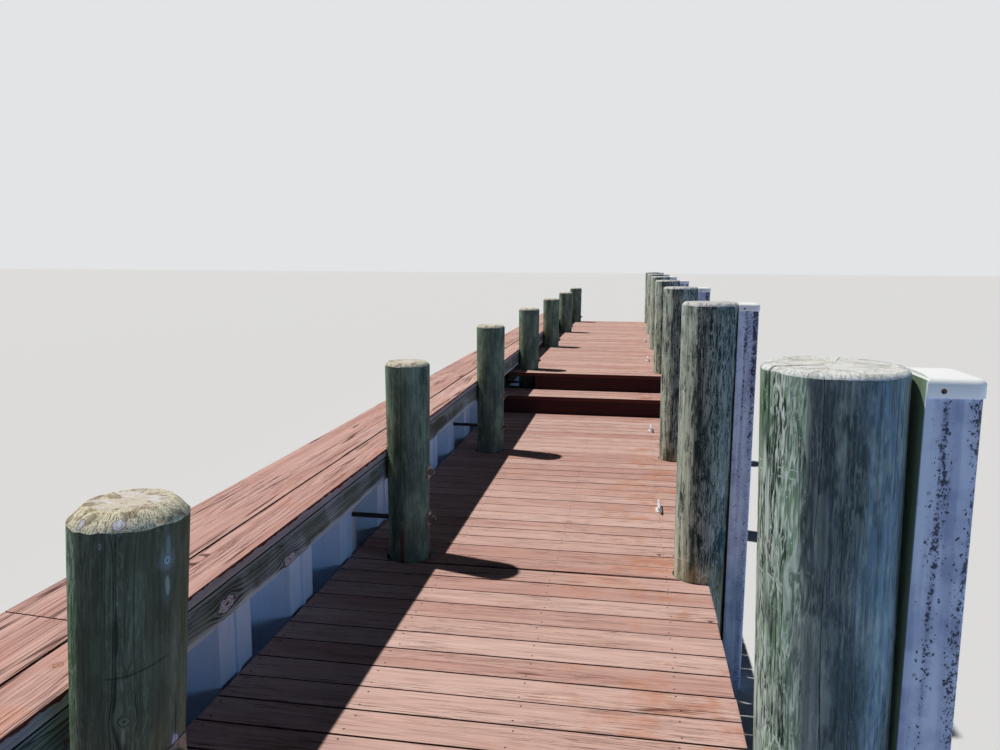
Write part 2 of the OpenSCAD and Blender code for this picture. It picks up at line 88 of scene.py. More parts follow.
def paint(red: int, green: int, blue: int) -> Colour:
    """Turns a screen colour of 0 to 255 into a linear one.

    Args:
        red: Red on the screen.
        green: Green on the screen.
        blue: Blue on the screen.

    Returns:
        The linear colour with an alpha of one.
    """
    parts = [value / 255.0 for value in (red, green, blue)]
    linear = [part / 12.92 if part <= 0.04045 else ((part + 0.055) / 1.055) ** 2.4 for part in parts]
    return (linear[0], linear[1], linear[2], 1.0)


def ramp_up(value: float, low: float, high: float) -> float:
    """Smooth step from 0 at low to 1 at high."""
    part = min(1.0, max(0.0, (value - low) / (high - low)))
    return part * part * (3.0 - 2.0 * part)


def circle(count: int) -> list[Point]:
    """Cosine and sine of evenly spaced angles, from 0 on."""
    angles = [2.0 * math.pi * k / count for k in range(count)]
    return [(math.cos(angle), math.sin(angle)) for angle in angles]


class Run(Enum):
    """Way in which the grain of a timber runs."""

    ACROSS = "x"
    ALONG = "y"
    UPRIGHT = "z"

    def place(self, along: float, across: float, height: float) -> Triple:
        """Place in the frame of a place on a board that lies flat."""
        return (along, across, height) if self is Run.ACROSS else (across, along, height)


# Node wiring


class Wire:
    """Number, vector or colour that comes out of a node and can be reckoned with."""

    def __init__(self, wiring: "Wiring", socket: bpy.types.NodeSocket) -> None:
        """Keeps the socket and the wiring that it belongs to."""
        self.wiring = wiring
        self.socket = socket

    def reckon(self, operation: str, first: object, second: object) -> "Wire":
        """Adds the node of one operation, for vectors where this is not a number."""
        add = self.wiring.math if self.socket.type == "VALUE" else self.wiring.vector
        return add(operation, first, second)

    def __add__(self, other: object) -> "Wire":
        """Sum of the two."""
        return self.reckon("ADD", self, other)

    def __sub__(self, other: object) -> "Wire":
        """This less the other."""
        return self.reckon("SUBTRACT", self, other)

    def __rsub__(self, other: object) -> "Wire":
        """The other less this."""
        return self.reckon("SUBTRACT", other, self)

    def __mul__(self, other: object) -> "Wire":
        """Product of the two, part by part for vectors."""
        return self.reckon("MULTIPLY", self, other)

    def __truediv__(self, other: object) -> "Wire":
        """This divided by the other, part by part for vectors."""
        return self.reckon("DIVIDE", self, other)

    def __rtruediv__(self, other: object) -> "Wire":
        """The other divided by this."""
        return self.reckon("DIVIDE", other, self)

    def __pow__(self, other: float) -> "Wire":
        """Power of a number."""
        return self.reckon("POWER", self, other)


Wires = dict[str, Wire]


class Wiring:
    """Adds nodes to one tree and joins them, from wires or plain values."""

    def __init__(self, tree: bpy.types.NodeTree) -> None:
        """Keeps the tree that the nodes go into."""
        self.tree = tree

    def plug(self, socket: bpy.types.NodeSocket, value: object) -> None:
        """Feeds a socket from a wire or with a plain value."""
        if isinstance(value, Wire):
            self.tree.links.new(value.socket, socket)
        else:
            socket.default_value = value

    def node(self, kind: str, takes: dict | None = None, **settings: object) -> bpy.types.Node:
        """Adds a node, sets its options and feeds its inputs.

        Args:
            kind: Name of the node without its first word.
            takes: What each input takes, by its name or number.
            **settings: Options of the node.

        Returns:
            The new node.
        """
        made = self.tree.nodes.new("ShaderNode" + kind)
        for name, value in settings.items():
            setattr(made, name, value)
        for key, value in (takes or {}).items():
            self.plug(made.inputs[key], value)
        return made

    def out(self, made: bpy.types.Node, name: int | str = 0) -> Wire:
        """Wire from one output of a node."""
        return Wire(self, made.outputs[name])

    def math(self, operation: str, *terms: object) -> Wire:
        """Adds a Math node."""
        return self.out(self.node("Math", dict(enumerate(terms)), operation=operation))

    def vector(self, operation: str, *terms: object) -> Wire:
        """Adds a Vector Math node, in which a plain number stands for three alike."""
        takes = {k: (term,) * 3 if isinstance(term, float) else term for k, term in enumerate(terms)}
        return self.out(self.node("VectorMath", takes, operation=operation), "Vector")

    def most(self, first: object, second: object) -> Wire:
        """The greater of two numbers."""
        return self.math("MAXIMUM", first, second)

    def wave(self, turns: Wire) -> Wire:
        """Wave from 0 to 1 that comes back with every turn."""
        return self.math("SINE", turns * (2.0 * math.pi)) * 0.5 + 0.5

    def clamp(self, value: Wire) -> Wire:
        """Number kept from 0 to 1."""
        return self.out(self.node("Clamp", {0: value}))

    def length(self, vector: Wire) -> Wire:
        """Length of a vector."""
        return self.out(self.node("VectorMath", {0: vector}, operation="LENGTH"), "Value")

    def split(self, vector: Wire) -> tuple[Wire, Wire, Wire]:
        """Parts of a vector."""
        made = self.node("SeparateXYZ", {0: vector})
        return (self.out(made, 0), self.out(made, 1), self.out(made, 2))

    def join(self, *parts: object) -> Wire:
        """Vector made from its three parts."""
        return self.out(self.node("CombineXYZ", dict(enumerate(parts))))

    def noise(self, vector: Wire, scale: float | Triple, detail: float = 2.0, rough: float = 0.5) -> Wire:
        """Adds a Noise Texture.

        Args:
            vector: Place on the surface.
            scale: Features for each metre, alike all ways or a number for each part of the vector.
            detail: Number of finer layers.
            rough: Strength of the finer layers.

        Returns:
            The noise, mostly from 0.3 to 0.7.
        """
        takes = {"Vector": vector, "Scale": scale, "Detail": detail, "Roughness": rough}
        if isinstance(scale, tuple):
            takes.update(Vector=vector * scale, Scale=1.0)
        return self.out(self.node("TexNoise", takes))

    def cells(self, vector: Wire, scale: float = 1.0) -> Wires:
        """Adds a Voronoi Texture of nearest points."""
        made = self.node("TexVoronoi", {"Vector": vector, "Scale": scale}, feature="F1")
        return {name: self.out(made, name) for name in ("Distance", "Color", "Position")}

    def edges(self, vector: Wire) -> Wire:
        """Distance from the nearest edge between cells of a Voronoi Texture."""
        made = self.node("TexVoronoi", {"Vector": vector, "Scale": 1.0}, feature="DISTANCE_TO_EDGE")
        return self.out(made, "Distance")

    def band(self, value: Wire, low: object, high: object) -> Wire:
        """Smooth step of a value from 0 at low to 1 at high, which may lie either way round."""
        takes = {"Value": value, "From Min": low, "From Max": high}
        return self.out(self.node("MapRange", takes, interpolation_type="SMOOTHSTEP"))

    def line(self, value: Wire, middle: float, half: object) -> Wire:
        """Mask that is 1 where a value is at its middle and 0 half a width away."""
        return self.band(self.math("ABSOLUTE", value - middle), half, 0.0)

    def mix(self, share: object, under: object, over: object) -> Wire:
        """Mixes two colours, by the share of the second."""
        return self.out(self.node("Mix", {0: share, 6: under, 7: over}, data_type="RGBA"), 2)

    def blend(self, share: object, under: object, over: object) -> Wire:
        """Mixes two numbers, by the share of the second."""
        return self.out(self.node("Mix", {0: share, 2: under, 3: over}, data_type="FLOAT"))

    def carried(self, name: str, output: str = "Fac") -> Wire:
        """Value that the mesh carries."""
        return self.out(self.node("Attribute", attribute_type="GEOMETRY", attribute_name=name), output)

    def place(self) -> Wire:
        """Place on the surface, in the frame."""
        return self.out(self.node("TexCoord"), "Object")

    def seen(self) -> Wire:
        """1 for the rays that show the background, straight or by way of metal and glass."""
        made = self.node("LightPath")
        straight = self.most(self.out(made, "Is Camera Ray"), self.out(made, "Is Transmission Ray"))
        return self.most(straight, self.out(made, "Is Glossy Ray"))

    def bump(self, height: Wire, relief: float, strength: float) -> Wire:
        """Normal of a surface.

        Args:
            height: Height, of about 0 to 1.
            relief: Relief in metres that a height of 1 stands for.
            strength: Strength of the bump.

        Returns:
            The normal.
        """
        return self.out(self.node("Bump", {"Strength": strength, "Distance": relief, "Height": height}))

    def use(self, effect: "type[Effect]", vector: Wire, **given: object) -> Wires:
        """Places a shared effect and feeds its inputs.

        Args:
            effect: The effect.
            vector: Place on the surface or in the timber.
            **given: Its other inputs by name, with _ for a space.

        Returns:
            What the effect gives, by name.
        """
        made = self.node("Group", node_tree=effect.group())
        for name, value in (("Vector", vector), *given.items()):
            self.plug(made.inputs[name.replace("_", " ")], value)
        return {socket.name: Wire(self, socket) for socket in made.outputs}


class Coat:
    """Colour that builds up in layers, each as strong as the number beside its mask."""

    def __init__(self, wiring: Wiring, share: object, under: object, over: object) -> None:
        """Starts with a mix of two colours."""
        self.wiring = wiring
        self.colour = wiring.mix(share, under, over)

    def lay(self, over: object, share: Wire) -> None:
        """Lays a colour over what is there."""
        self.colour = self.wiring.mix(share, self.colour, over)


# Shared effects


class Effect:
    """Shared effect that is built once as a shader node group. Each one takes a vector."""

    TITLE: ClassVar[str] = ""
    TAKES: ClassVar[dict[str, float | Triple]] = {}
    GIVES: ClassVar[tuple[str, ...]] = ()

    @classmethod
    def group(cls) -> bpy.types.NodeTree:
        """Finds the node group of this effect, or builds it.

        Returns:
            The node group.
        """
        if cls.TITLE in bpy.data.node_groups:
            return bpy.data.node_groups[cls.TITLE]
        tree = bpy.data.node_groups.new(cls.TITLE, "ShaderNodeTree")
        for name, value in {"Vector": (0.0, 0.0, 0.0), **cls.TAKES}.items():
            kind = "NodeSocketVector" if isinstance(value, tuple) else "NodeSocketFloat"
            tree.interface.new_socket(name=name, in_out="INPUT", socket_type=kind).default_value = value
        for name in cls.GIVES:
            kind = "NodeSocketVector" if name == "Vector" else "NodeSocketFloat"
            tree.interface.new_socket(name=name, in_out="OUTPUT", socket_type=kind)
        wiring = Wiring(tree)
        entry = tree.nodes.new("NodeGroupInput")
        result = tree.nodes.new("NodeGroupOutput")
        given = {name: wiring.out(entry, name) for name in ("Vector", *cls.TAKES)}
        for name, value in cls.wire(wiring, given).items():
            wiring.plug(result.inputs[name], value)
        return tree

    @classmethod
    def wire(cls, w: Wiring, given: Wires) -> Wires:
        """Wires the nodes of the group.

        Args:
            w: Wiring of the group.
            given: Inputs by name.

        Returns:
            Outputs by name.
        """
        raise NotImplementedError


class TimberFigure(Effect):
    """Growth rings, fibres, streaks and drying cracks of sawn or round timber."""

    TITLE = "Timber figure"
    TAKES = {
        "Pith depth": 0.07, "Ring width": 0.007, "Wander": 0.05, "Crack width": 0.012, "Crack share": 0.5,
    }
    GIVES = ("Rings", "Fibre", "Streak", "Crack", "Height")

    @classmethod
    def wire(cls, w: Wiring, given: Wires) -> Wires:
        """Wires rings about the pith, stretched noise for the fibres and cell edges for the cracks."""
        grain = given["Vector"]
        _, across, depth = w.split(grain)
        wander = (w.noise(grain, (0.7, 3.0, 3.0), 1.0) - 0.5) * given["Wander"]
        radius = w.length(w.join(0.0, across, depth + given["Pith depth"])) + wander
        rings = w.wave(radius / given["Ring width"])
        fibre = w.noise(grain, (3.0, 190.0, 190.0), 3.0, 0.65)
        streak = w.noise(grain, (0.6, 17.0, 17.0), 3.0, 0.55)
        bend = w.noise(grain, (5.0, 30.0, 30.0)) * 0.016
        split = w.edges((grain + w.join(0.0, bend, 0.0)) * (0.5, 36.0, 36.0))
        low = 0.72 - given["Crack share"] * 0.3
        gate = w.band(w.noise(grain, (1.3, 9.0, 9.0), 1.0), low, low + 0.08)
        crack = w.band(split, given["Crack width"] * gate, 0.0) * gate
        height = fibre * 0.55 + rings * 0.16 - crack
        return {"Rings": rings, "Fibre": fibre, "Streak": streak, "Crack": crack, "Height": height}


def flow_round(w: Wiring, grain: Wire, away: Wire, reach: Wire, size: Wire) -> tuple[Wire, Wire]:
    """Bends grain round a knot.

    Args:
        w: Wiring of the group.
        grain: Place in the timber.
        away: Way from the knot's middle.
        reach: Distance from it.
        size: Size of the knot, or nothing where there is none.

    Returns:
        The bent grain, and the distance as a share of the knot's size.
    """
    pull = (size / w.most(reach, size)) ** 2.0
    return (grain - away * w.join(0.0, pull, pull), reach / size)


class Knots(Effect):
    """Knots scattered in a timber, with the grain flowing round them."""

    TITLE = "Scattered knots"
    TAKES = {"Spacing along": 0.9, "Spacing across": 0.16, "Size": 0.014, "Share": 0.35}
    GIVES = ("Vector", "Knot", "Rim", "Halo")

    @classmethod
    def wire(cls, w: Wiring, given: Wires) -> Wires:
        """Wires cells that each may hold a knot, and a flow of the grain round it."""
        grain = given["Vector"]
        pitch = w.join(given["Spacing along"], given["Spacing across"], given["Spacing across"])
        cell = w.cells(grain / pitch)
        away = grain - cell["Position"] * pitch
        chance, girth, _ = w.split(cell["Color"])
        kept = w.math("LESS_THAN", chance, given["Share"])
        reach = w.length(away * (0.62, 1.0, 1.0))
        flow, share = flow_round(w, grain, away * kept, reach, given["Size"] * (girth + 0.45))
        knot = w.band(share, 1.02, 0.9) * kept
        rim = w.most(w.line(share, 0.95, 0.16) * kept, knot * w.band(w.math("SINE", share * 17.0), 0.4, 1.0))
        return {"Vector": flow, "Knot": knot, "Rim": rim, "Halo": w.band(share, 3.2, 0.8) * kept}


class KnotMark(Effect):
    """One knot at a given place, with the grain flowing round it."""

    TITLE = "Placed knot"
    TAKES = {"Centre": (0.0, 0.0, 0.0), "Size": 0.015, "Length": 1.4}
    GIVES = ("Vector", "Knot", "Rim", "Halo", "Heart")

    @classmethod
    def wire(cls, w: Wiring, given: Wires) -> Wires:
        """Wires a wobbly oval with a rim and a dark heart, and the flow of the grain round it."""
        away = given["Vector"] - given["Centre"]
        reach = w.length(away / w.join(given["Length"], 1.0, 1.0))
        flow, share = flow_round(w, given["Vector"], away, reach, given["Size"])
        share = share + (w.noise(given["Vector"], (45.0, 90.0, 90.0)) - 0.5) * 0.9
        rim = w.most(w.line(share, 0.97, 0.22), w.line(share, 0.55, 0.14) * 0.7)
        rim = w.most(rim, w.line(share, 1.5, 0.14) * 0.35)
        knot, halo, heart = (w.band(share, *ends) for ends in ((1.15, 0.75), (3.0, 0.9), (0.34, 0.10)))
        return {"Vector": flow, "Knot": knot, "Rim": rim, "Halo": halo, "Heart": heart}


class EndGrain(Effect):
    """Rings, rays, cracks and pale seams of a sawn pile top."""

    TITLE = "End grain"
    TAKES = {"Ring width": 0.0042}
    GIVES = ("Rings", "Rays", "Crack", "Seam", "Radius")

    @classmethod
    def wire(cls, w: Wiring, given: Wires) -> Wires:
        """Wires rings about the pith, and ridges that depend on the direction from it."""
        _, across, depth = w.split(given["Vector"])
        flat = w.join(across, depth, 0.0)
        radius = w.length(flat)
        rings = w.wave((radius + w.noise(flat, 22.0) * 0.016) / given["Ring width"])
        side, front, _ = w.split(w.vector("NORMALIZE", flat))
        grit = w.noise(flat, 260.0, 2.0, 0.6)
        rays = w.blend(0.4, w.noise(w.join(side, front, radius * 9.0), 26.0, 2.0, 0.6), grit)
        cuts = w.noise(w.join(side, front, radius * 3.0), 17.0)
        crack = w.line(cuts, 0.5, 0.0042 / (radius + 0.02)) * w.band(grit * 0.08 + radius, 0.09, 0.13)
        bent = flat + w.join(0.0, w.noise(flat, 16.0) * 0.05, 0.0)
        seam = w.line(w.noise(bent, (4.0, 19.0, 1.0), 3.0, 0.55), 0.5, 0.034) * w.band(radius, 0.105, 0.06)
        return {"Rings": rings, "Rays": rays, "Crack": crack, "Seam": seam, "Radius": radius}


class Weather(Effect):
    """Broad patches, fine speckle and runs that water leaves on an upright face."""

    TITLE = "Weather"
    TAKES = {"Patch size": 0.25}
    GIVES = ("Patch", "Speckle", "Runs")

    @classmethod
    def wire(cls, w: Wiring, given: Wires) -> Wires:
        """Wires three noises of different shape."""
        patch = w.noise(given["Vector"] / given["Patch size"], 1.0, 3.0, 0.6)
        speckle = w.noise(given["Vector"], 190.0, 2.0, 0.6)
        runs = w.noise(given["Vector"], (46.0, 46.0, 1.6), 3.0, 0.6)
        return {"Patch": patch, "Speckle": speckle, "Runs": runs}


class Peel(Effect):
    """Pale veins, dark streaks and pale worn hoops of a weathered round timber."""

    TITLE = "Peel"
    GIVES = ("Veins", "Dark", "Hoops", "Specks")

    @classmethod
    def wire(cls, w: Wiring, given: Wires) -> Wires:
        """Wires outlines of long islands, long dark streaks and rings round the timber."""
        grain = given["Vector"]
        swirl = w.noise(grain, (5.0, 16.0, 16.0))
        bent = grain + w.join(swirl * 0.08, swirl * 0.02, 0.0)
        island = w.noise(bent, (4.4, 31.0, 31.0), 3.0, 0.66)
        finer = w.noise(bent, (11.0, 84.0, 84.0), 3.0, 0.65)
        where = w.band(w.noise(grain, (3.0, 13.0, 13.0)), 0.36, 0.52)
        veins = w.most(w.line(island, 0.47, 0.042), w.line(finer, 0.52, 0.05) * 0.75)
        veins = w.most(veins, w.band(island, 0.55, 0.61) * 0.8)
        dark = w.band(w.noise(bent, (3.6, 24.0, 24.0), 4.0, 0.72), 0.50, 0.55)
        ring = w.noise(w.join(swirl * 0.02 + w.split(grain)[0], 0.0, 0.0), 21.0, 1.0)
        hoops = w.line(ring, 0.62, 0.030) * w.band(finer, 0.40, 0.56)
        specks = w.band(w.noise(grain, (75.0, 130.0, 130.0), 2.0, 0.6), 0.64, 0.74)
        return {"Veins": veins * where, "Dark": dark, "Hoops": hoops, "Specks": specks}


class Mildew(Effect):
    """Dark specks of mildew that crowd together where the density is high."""

    TITLE = "Mildew"
    TAKES = {"Density": 0.2}
    GIVES = ("Specks", "Haze")

    @classmethod
    def wire(cls, w: Wiring, given: Wires) -> Wires:
        """Wires cells of three sizes, each shown by chance, and clumps among them."""
        place, density = given["Vector"], given["Density"]
        level = density * -0.30 + 0.745
        shown = w.band(w.noise(place, 62.0, 4.0, 0.72), level, level + 0.035)
        bent = place + w.cells(place, 95.0)["Color"] * 0.004
        for scale, radius in ((105.0, 0.42), (170.0, 0.42), (290.0, 0.40)):
            cell = w.cells(bent * (1.0, 1.0, 0.72), scale)
            chance, girth, _ = w.split(cell["Color"])
            reach = (girth + 0.25) * radius
            speck = w.band(cell["Distance"], reach, reach * 0.55)
            shown = w.most(shown, speck * w.math("LESS_THAN", chance, density))
        return {"Specks": shown, "Haze": w.noise(place, 24.0, 3.0, 0.65) * density}


# Finishes


@dataclass(frozen=True)
class Finish:
    """Finish that a piece wears, made into one material on first use."""

    title: str
    slot: str

    def material(self) -> bpy.types.Material:
        """Finds the material of this finish, or makes it.

        Returns:
            The material.
        """
        if self.title in bpy.data.materials:
            return bpy.data.materials[self.title]
        made = bpy.data.materials.new(self.title)
        made.use_nodes = True
        wiring = Wiring(made.node_tree)
        shader = made.node_tree.nodes["Principled BSDF"]
        for name, value in self.wire(wiring).items():
            wiring.plug(shader.inputs[name], value)
        return made

    def wire(self, w: Wiring) -> dict[str, object]:
        """Wires the material.

        Args:
            w: Wiring of the material.

        Returns:
            What each socket of its shader takes.
        """
        raise NotImplementedError


@dataclass(frozen=True)
class Mark:
    """Knot at a known place in a timber, in the timber's own grain coordinates."""

    centre: Triple
    size: float
    body: Colour
    rim: Colour
    length: float = 1.4
    halo: float = 0.0
    strength: float = 0.8
    rim_strength: float = 0.7

    def spot(self, w: Wiring, vector: Wire) -> Wires:
        """Places the knot."""
        return w.use(KnotMark, vector, Centre=self.centre, Size=self.size, Length=self.length)

    def lay(self, coat: Coat, spot: Wires, heart: Colour, heart_strength: float) -> None:
        """Lays the colours of the knot.

        Args:
            coat: Coat that it shows in.
            spot: The placed knot.
            heart: Colour of its heart.
            heart_strength: Strength of the heart.
        """
        coat.lay(self.body, spot["Halo"] * self.halo)
        coat.lay(self.body, spot["Knot"] * self.strength)
        coat.lay(self.rim, spot["Rim"] * self.rim_strength)
        coat.lay(heart, spot["Heart"] * heart_strength)


@dataclass(frozen=True, kw_only=True)
class StainedTimber(Finish):
    """Sawn boards under a worn semi-solid stain."""

    light: Colour
    middle: Colour
    deep: Colour
    warm: Colour
    bare: Colour
    crack: Colour
    # Colour of faces that do not look up: painted shade on deck boards and risers, the unstained timber's
    # own grey on cap boards.
    side: Colour
    crack_share: float = 0.5
    crack_width: float = 0.012
    warm_from: float = 0.2
    warm_to: float = 1.0
    ring_strength: float = 0.35
    grain_strength: float = 0.45
    vein_strength: float = 0.5
    tone_share: float = 0.42
    drip: Colour | None = None
    relief: float = 0.0007
    marks: tuple[Mark, ...] = ()

    def wire(self, w: Wiring) -> dict[str, object]:
        """Wires stain over figure, with warm patches, knots and cracks, and a side colour that is painted
        shade on deck boards and risers.
        """
        tone = w.carried("tone")
        place = w.place()
        knots = w.use(
            Knots, w.carried("grain_co", "Vector"), Spacing_along=0.75, Spacing_across=0.15, Size=0.013,
            Share=0.30,
        )
        flow = knots["Vector"]
        figure = w.use(
            TimberFigure, flow, Pith_depth=0.085, Ring_width=0.0085, Wander=0.11,
            Crack_width=self.crack_width, Crack_share=self.crack_share,
        )
        streak = w.band(figure["Streak"], 0.34, 0.66)
        shade = tone * self.tone_share + streak * (1.0 - self.tone_share)
        coat = Coat(w, w.band(shade, 0.05, 0.5), self.deep, self.middle)
        coat.lay(self.light, w.band(shade, 0.45, 0.95))
        weather = w.use(Weather, place + w.join(tone, tone, 0.0), Patch_size=0.22)
        seaward = w.band(w.split(place)[0], self.warm_from, self.warm_to)
        coat.lay(self.warm, w.band(weather["Patch"], 0.50, 0.66) * w.blend(seaward, 0.12, 0.8))
        coat.lay(self.crack, figure["Rings"] ** 2.0 * (0.62 * self.ring_strength))
        coat.lay(self.crack, w.blend(w.band(figure["Fibre"], 0.34, 0.56), 0.24, 0.0))
        hair = w.noise(flow, (2.6, 230.0, 230.0), 2.0, 0.6)
        coat.lay(self.crack, w.band(hair, 0.57, 0.65) * self.grain_strength)
        coat.lay(self.bare, w.band(hair, 0.42, 0.30) * 0.3)
        vein = w.band(w.noise(flow, (4.5, 142.0, 142.0), 4.0, 0.72), 0.55, 0.585)
        busy = w.band(w.noise(flow, (1.0, 7.0, 7.0)), 0.44, 0.56)
        coat.lay(self.crack, vein * busy * self.vein_strength)
        coat.lay(self.bare, w.band(weather["Speckle"], 0.66, 0.76) * 0.35)
        coat.lay(self.warm, knots["Halo"] * 0.22)
        coat.lay(self.deep, knots["Knot"] * 0.35)
        coat.lay(self.crack, knots["Rim"] * 0.6)
        for mark in self.marks:
            mark.lay(coat, mark.spot(w, place), mark.rim, mark.rim_strength)
        coat.lay(self.crack, figure["Crack"] * 0.85)
        ragged = (w.noise(place, 55.0, 3.0, 0.6) - 0.5) * 1.3
        coat.lay(self.bare, w.band(w.carried("edge") + ragged, 0.75, 1.05) * 0.45)
        # Faces that do not look up take the side colour, which is painted shade on deck boards and risers.
        upward = w.band(w.split(w.out(w.node("NewGeometry"), "True Normal"))[2], 0.35, 0.75)
        side = w.mix(w.band(figure["Fibre"], 0.35, 0.65) * 0.35, self.side, self.crack)
        if self.drip is not None:
            level = w.noise(place, (14.0, 14.0, 3.0), 3.0, 0.6) * 0.036 + (CAP_TOP_Z - 0.030)
            side = w.mix(w.band(w.split(place)[2], level, level + 0.003), side, self.drip)
        return {
            "Base Color": w.mix(upward, side, coat.colour),
            "Roughness": w.blend(figure["Fibre"], 0.94, 0.66),
            "Specular IOR Level": 0.02,
            "Normal": w.bump(figure["Height"], self.relief, 0.9),
        }


@dataclass(frozen=True)
class Scar:
    """Thin dark line that an old rope cut round part of a pile, from one share of the radius to another."""

    height: float
    rise: float
    start: float
    end: float

    def mask(self, w: Wiring, up: Wire, share: Wire, depth: Wire) -> Wire:
        """Wires the mask of the scar.

        Args:
            w: Wiring of the material.
            up: Height on the pile.
            share: Distance seaward from the axis, as a share of the radius.
            depth: Distance along the jetty from the axis.

        Returns:
            The mask.
        """
        part = (share - self.start) / (self.end - self.start)
        level = w.most(part, 0.0) ** 2.5 * self.rise + self.height
        mask = w.line(up - level, 0.0, 0.0042) * w.band(part, -0.05, 0.12) * w.band(part, 1.02, 0.9)
        return mask * w.math("LESS_THAN", depth, 0.0)


@dataclass(frozen=True, kw_only=True)
class RoundTimber(Finish):
    """Treated round timber whose landward, near and seaward sides have weathered in their own way, with
    painted light in the landward colour and painted shade in the near side's colour.
    """

    dark: Colour
    pale: Colour
    # Landward colour: weathering plus painted light on the sunlit side. Middle colour: weathering plus
    # painted shade on the near side.
    landward: Colour
    middle: Colour
    seaward: Colour
    foot: Colour
    end_rim: Colour
    end_core: Colour
    end_dark: Colour
    end_seam: Colour
    end_crack: float = 0.6
    crack: Colour = (0.01, 0.012, 0.012, 1.0)
    turn: float = -0.5
    mottle: float = 0.2
    peel: float = 0.8
    peel_beyond: float = 0.25
    dark_share: float = 0.6
    foot_share: float = 0.5
    foot_top: float = 0.85
    crack_share: float = 0.5
    marks: tuple[Mark, ...] = ()
    scar: Scar | None = None

    BEVEL_Z: ClassVar[float] = 1.58

    def wire(self, w: Wiring) -> dict[str, object]:
        """Wires the three sides, with painted light landward and painted shade on the near side, the peeling
        veins, the foot, the marks and the cut top.
        """
        own = w.carried("own_co", "Vector")
        spots = [mark.spot(w, own) for mark in self.marks]
        grain = w.carried("grain_co", "Vector")
        for spot in spots:
            grain = grain + (spot["Vector"] - own)
        knots = w.use(Knots, grain, Spacing_along=0.36, Spacing_across=0.12, Size=0.012, Share=0.4)
        figure = w.use(
            TimberFigure, knots["Vector"], Pith_depth=0.0, Ring_width=0.006, Wander=0.05, Crack_width=0.030,
            Crack_share=self.crack_share,
        )
        peel = w.use(Peel, knots["Vector"])
        coat = self.wire_side(w, grain, own, figure, peel)
        coat.lay(self.pale, knots["Halo"] * 0.14)
        coat.lay(self.dark, knots["Rim"] * 0.5)
        for mark, spot in zip(self.marks, spots):
            mark.lay(coat, spot, self.crack, mark.rim_strength)
        if self.scar is not None:
            up, across, depth = w.split(own)
            coat.lay(self.crack, self.scar.mask(w, up, self.heading(w, across, depth), depth) * 0.62)
        coat.lay(self.crack, figure["Crack"] * 0.8)
        end = w.use(EndGrain, own)
        cut = w.band(w.carried("cut"), 0.3, 0.6)
        coat.lay(self.wire_top(w, own, end, spots), cut)
        height = figure["Height"] + peel["Veins"] * 0.9 - peel["Dark"] * 0.6
        return {
            "Base Color": coat.colour,
            "Roughness": w.blend(figure["Fibre"], 0.92, 0.68),
            "Specular IOR Level": 0.05,
            "Normal": w.bump(w.blend(cut, height, end["Rays"] - end["Crack"]), 0.0012, 0.9),
        }

    @staticmethod
    def heading(w: Wiring, across: Wire, depth: Wire) -> Wire:
        """Way that a place faces, from -1 landward to 1 seaward."""
        return across / w.most(w.length(w.join(0.0, across, depth)), 0.02)

    def wire_side(self, w: Wiring, grain: Wire, own: Wire, figure: Wires, peel: Wires) -> Coat:
        """Wires the weathered sides, with painted light on the landward side and painted shade on the near
        side.

        Args:
            w: Wiring of the material.
            grain: Place in the timber.
            own: Place in the pile's own coordinates.
            figure: Figure of the timber.
            peel: Veins, streaks and hoops.

        Returns:
            The coat, before its knots and cracks.
        """
        up, across, depth = w.split(own)
        ragged = w.noise(grain, (4.0, 45.0, 45.0), 3.0, 0.6) - 0.5
        heading = ragged * 0.9 + self.heading(w, across, depth)
        # shore masks the sunlit landward side, whose colour is weathering plus painted light; the near
        # side's middle colour is weathering plus painted shade.
        shore = w.band(heading, self.turn + 0.12, self.turn - 0.16)
        coat = Coat(w, w.band(heading, self.turn + 0.45, self.turn + 1.0), self.middle, self.seaward)
        coat.lay(self.landward, shore)
        coat.lay(self.dark, w.blend(w.band(figure["Streak"], 0.36, 0.64), 0.35, 0.0))
        coat.lay(self.dark, peel["Dark"] * w.blend(shore, 0.5, 1.0) * self.dark_share)
        level = w.noise(grain, (5.0, 30.0, 30.0), 3.0) * 0.5 + (self.foot_top - 0.4)
        coat.lay(self.foot, w.band(up, level + 0.12, level - 0.05) * self.foot_share)
        mottle = w.noise(grain, (6.0, 15.0, 15.0), 4.0, 0.62)
        coat.lay(self.pale, w.band(mottle, 0.50, 0.60) * self.mottle)
        coat.lay(self.dark, w.band(mottle, 0.49, 0.38) * (1.5 * self.mottle))
        amount = w.blend(shore, self.peel_beyond, self.peel)
        coat.lay(self.pale, w.most(peel["Veins"], peel["Hoops"] * shore * 0.8) * amount)
        coat.lay(self.pale, peel["Specks"] * amount * 0.7)
        coat.lay(self.dark, w.blend(w.band(figure["Fibre"], 0.32, 0.58), 0.40, 0.0))
        coat.lay(self.dark, figure["Rings"] ** 3.0 * 0.18)
        return coat

    def wire_top(self, w: Wiring, own: Wire, end: Wires, spots: list[Wires]) -> Wire:
        """Wires the cut top.

        Args:
            w: Wiring of the material.
            own: Place in the pile's own coordinates.
            end: End grain.
            spots: The placed knots, of which those on the bevel show.

        Returns:
            Its colour.
        """
        blotch = w.noise(own, 30.0, 3.0, 0.6)
        reach = (blotch - 0.5) * 0.12 + end["Radius"]
        top = Coat(w, w.band(reach, 0.055, 0.095), self.end_core, self.end_rim)
        top.lay(self.end_dark, w.band(end["Rays"], 0.56, 0.34) * 0.5)
        top.lay(self.end_dark, end["Rings"] * 0.18)
        top.lay(self.end_dark, w.band(blotch, 0.50, 0.60) * 0.7)
        top.lay(self.end_seam, end["Seam"] * 0.85)
        top.lay(self.crack, end["Crack"] * self.end_crack)
        for mark, spot in zip(self.marks, spots):
            if mark.centre[0] > self.BEVEL_Z:
                top.lay(mark.body, spot["Knot"] * mark.strength)
                top.lay(mark.rim, spot["Rim"] * mark.rim_strength)
        return top.colour


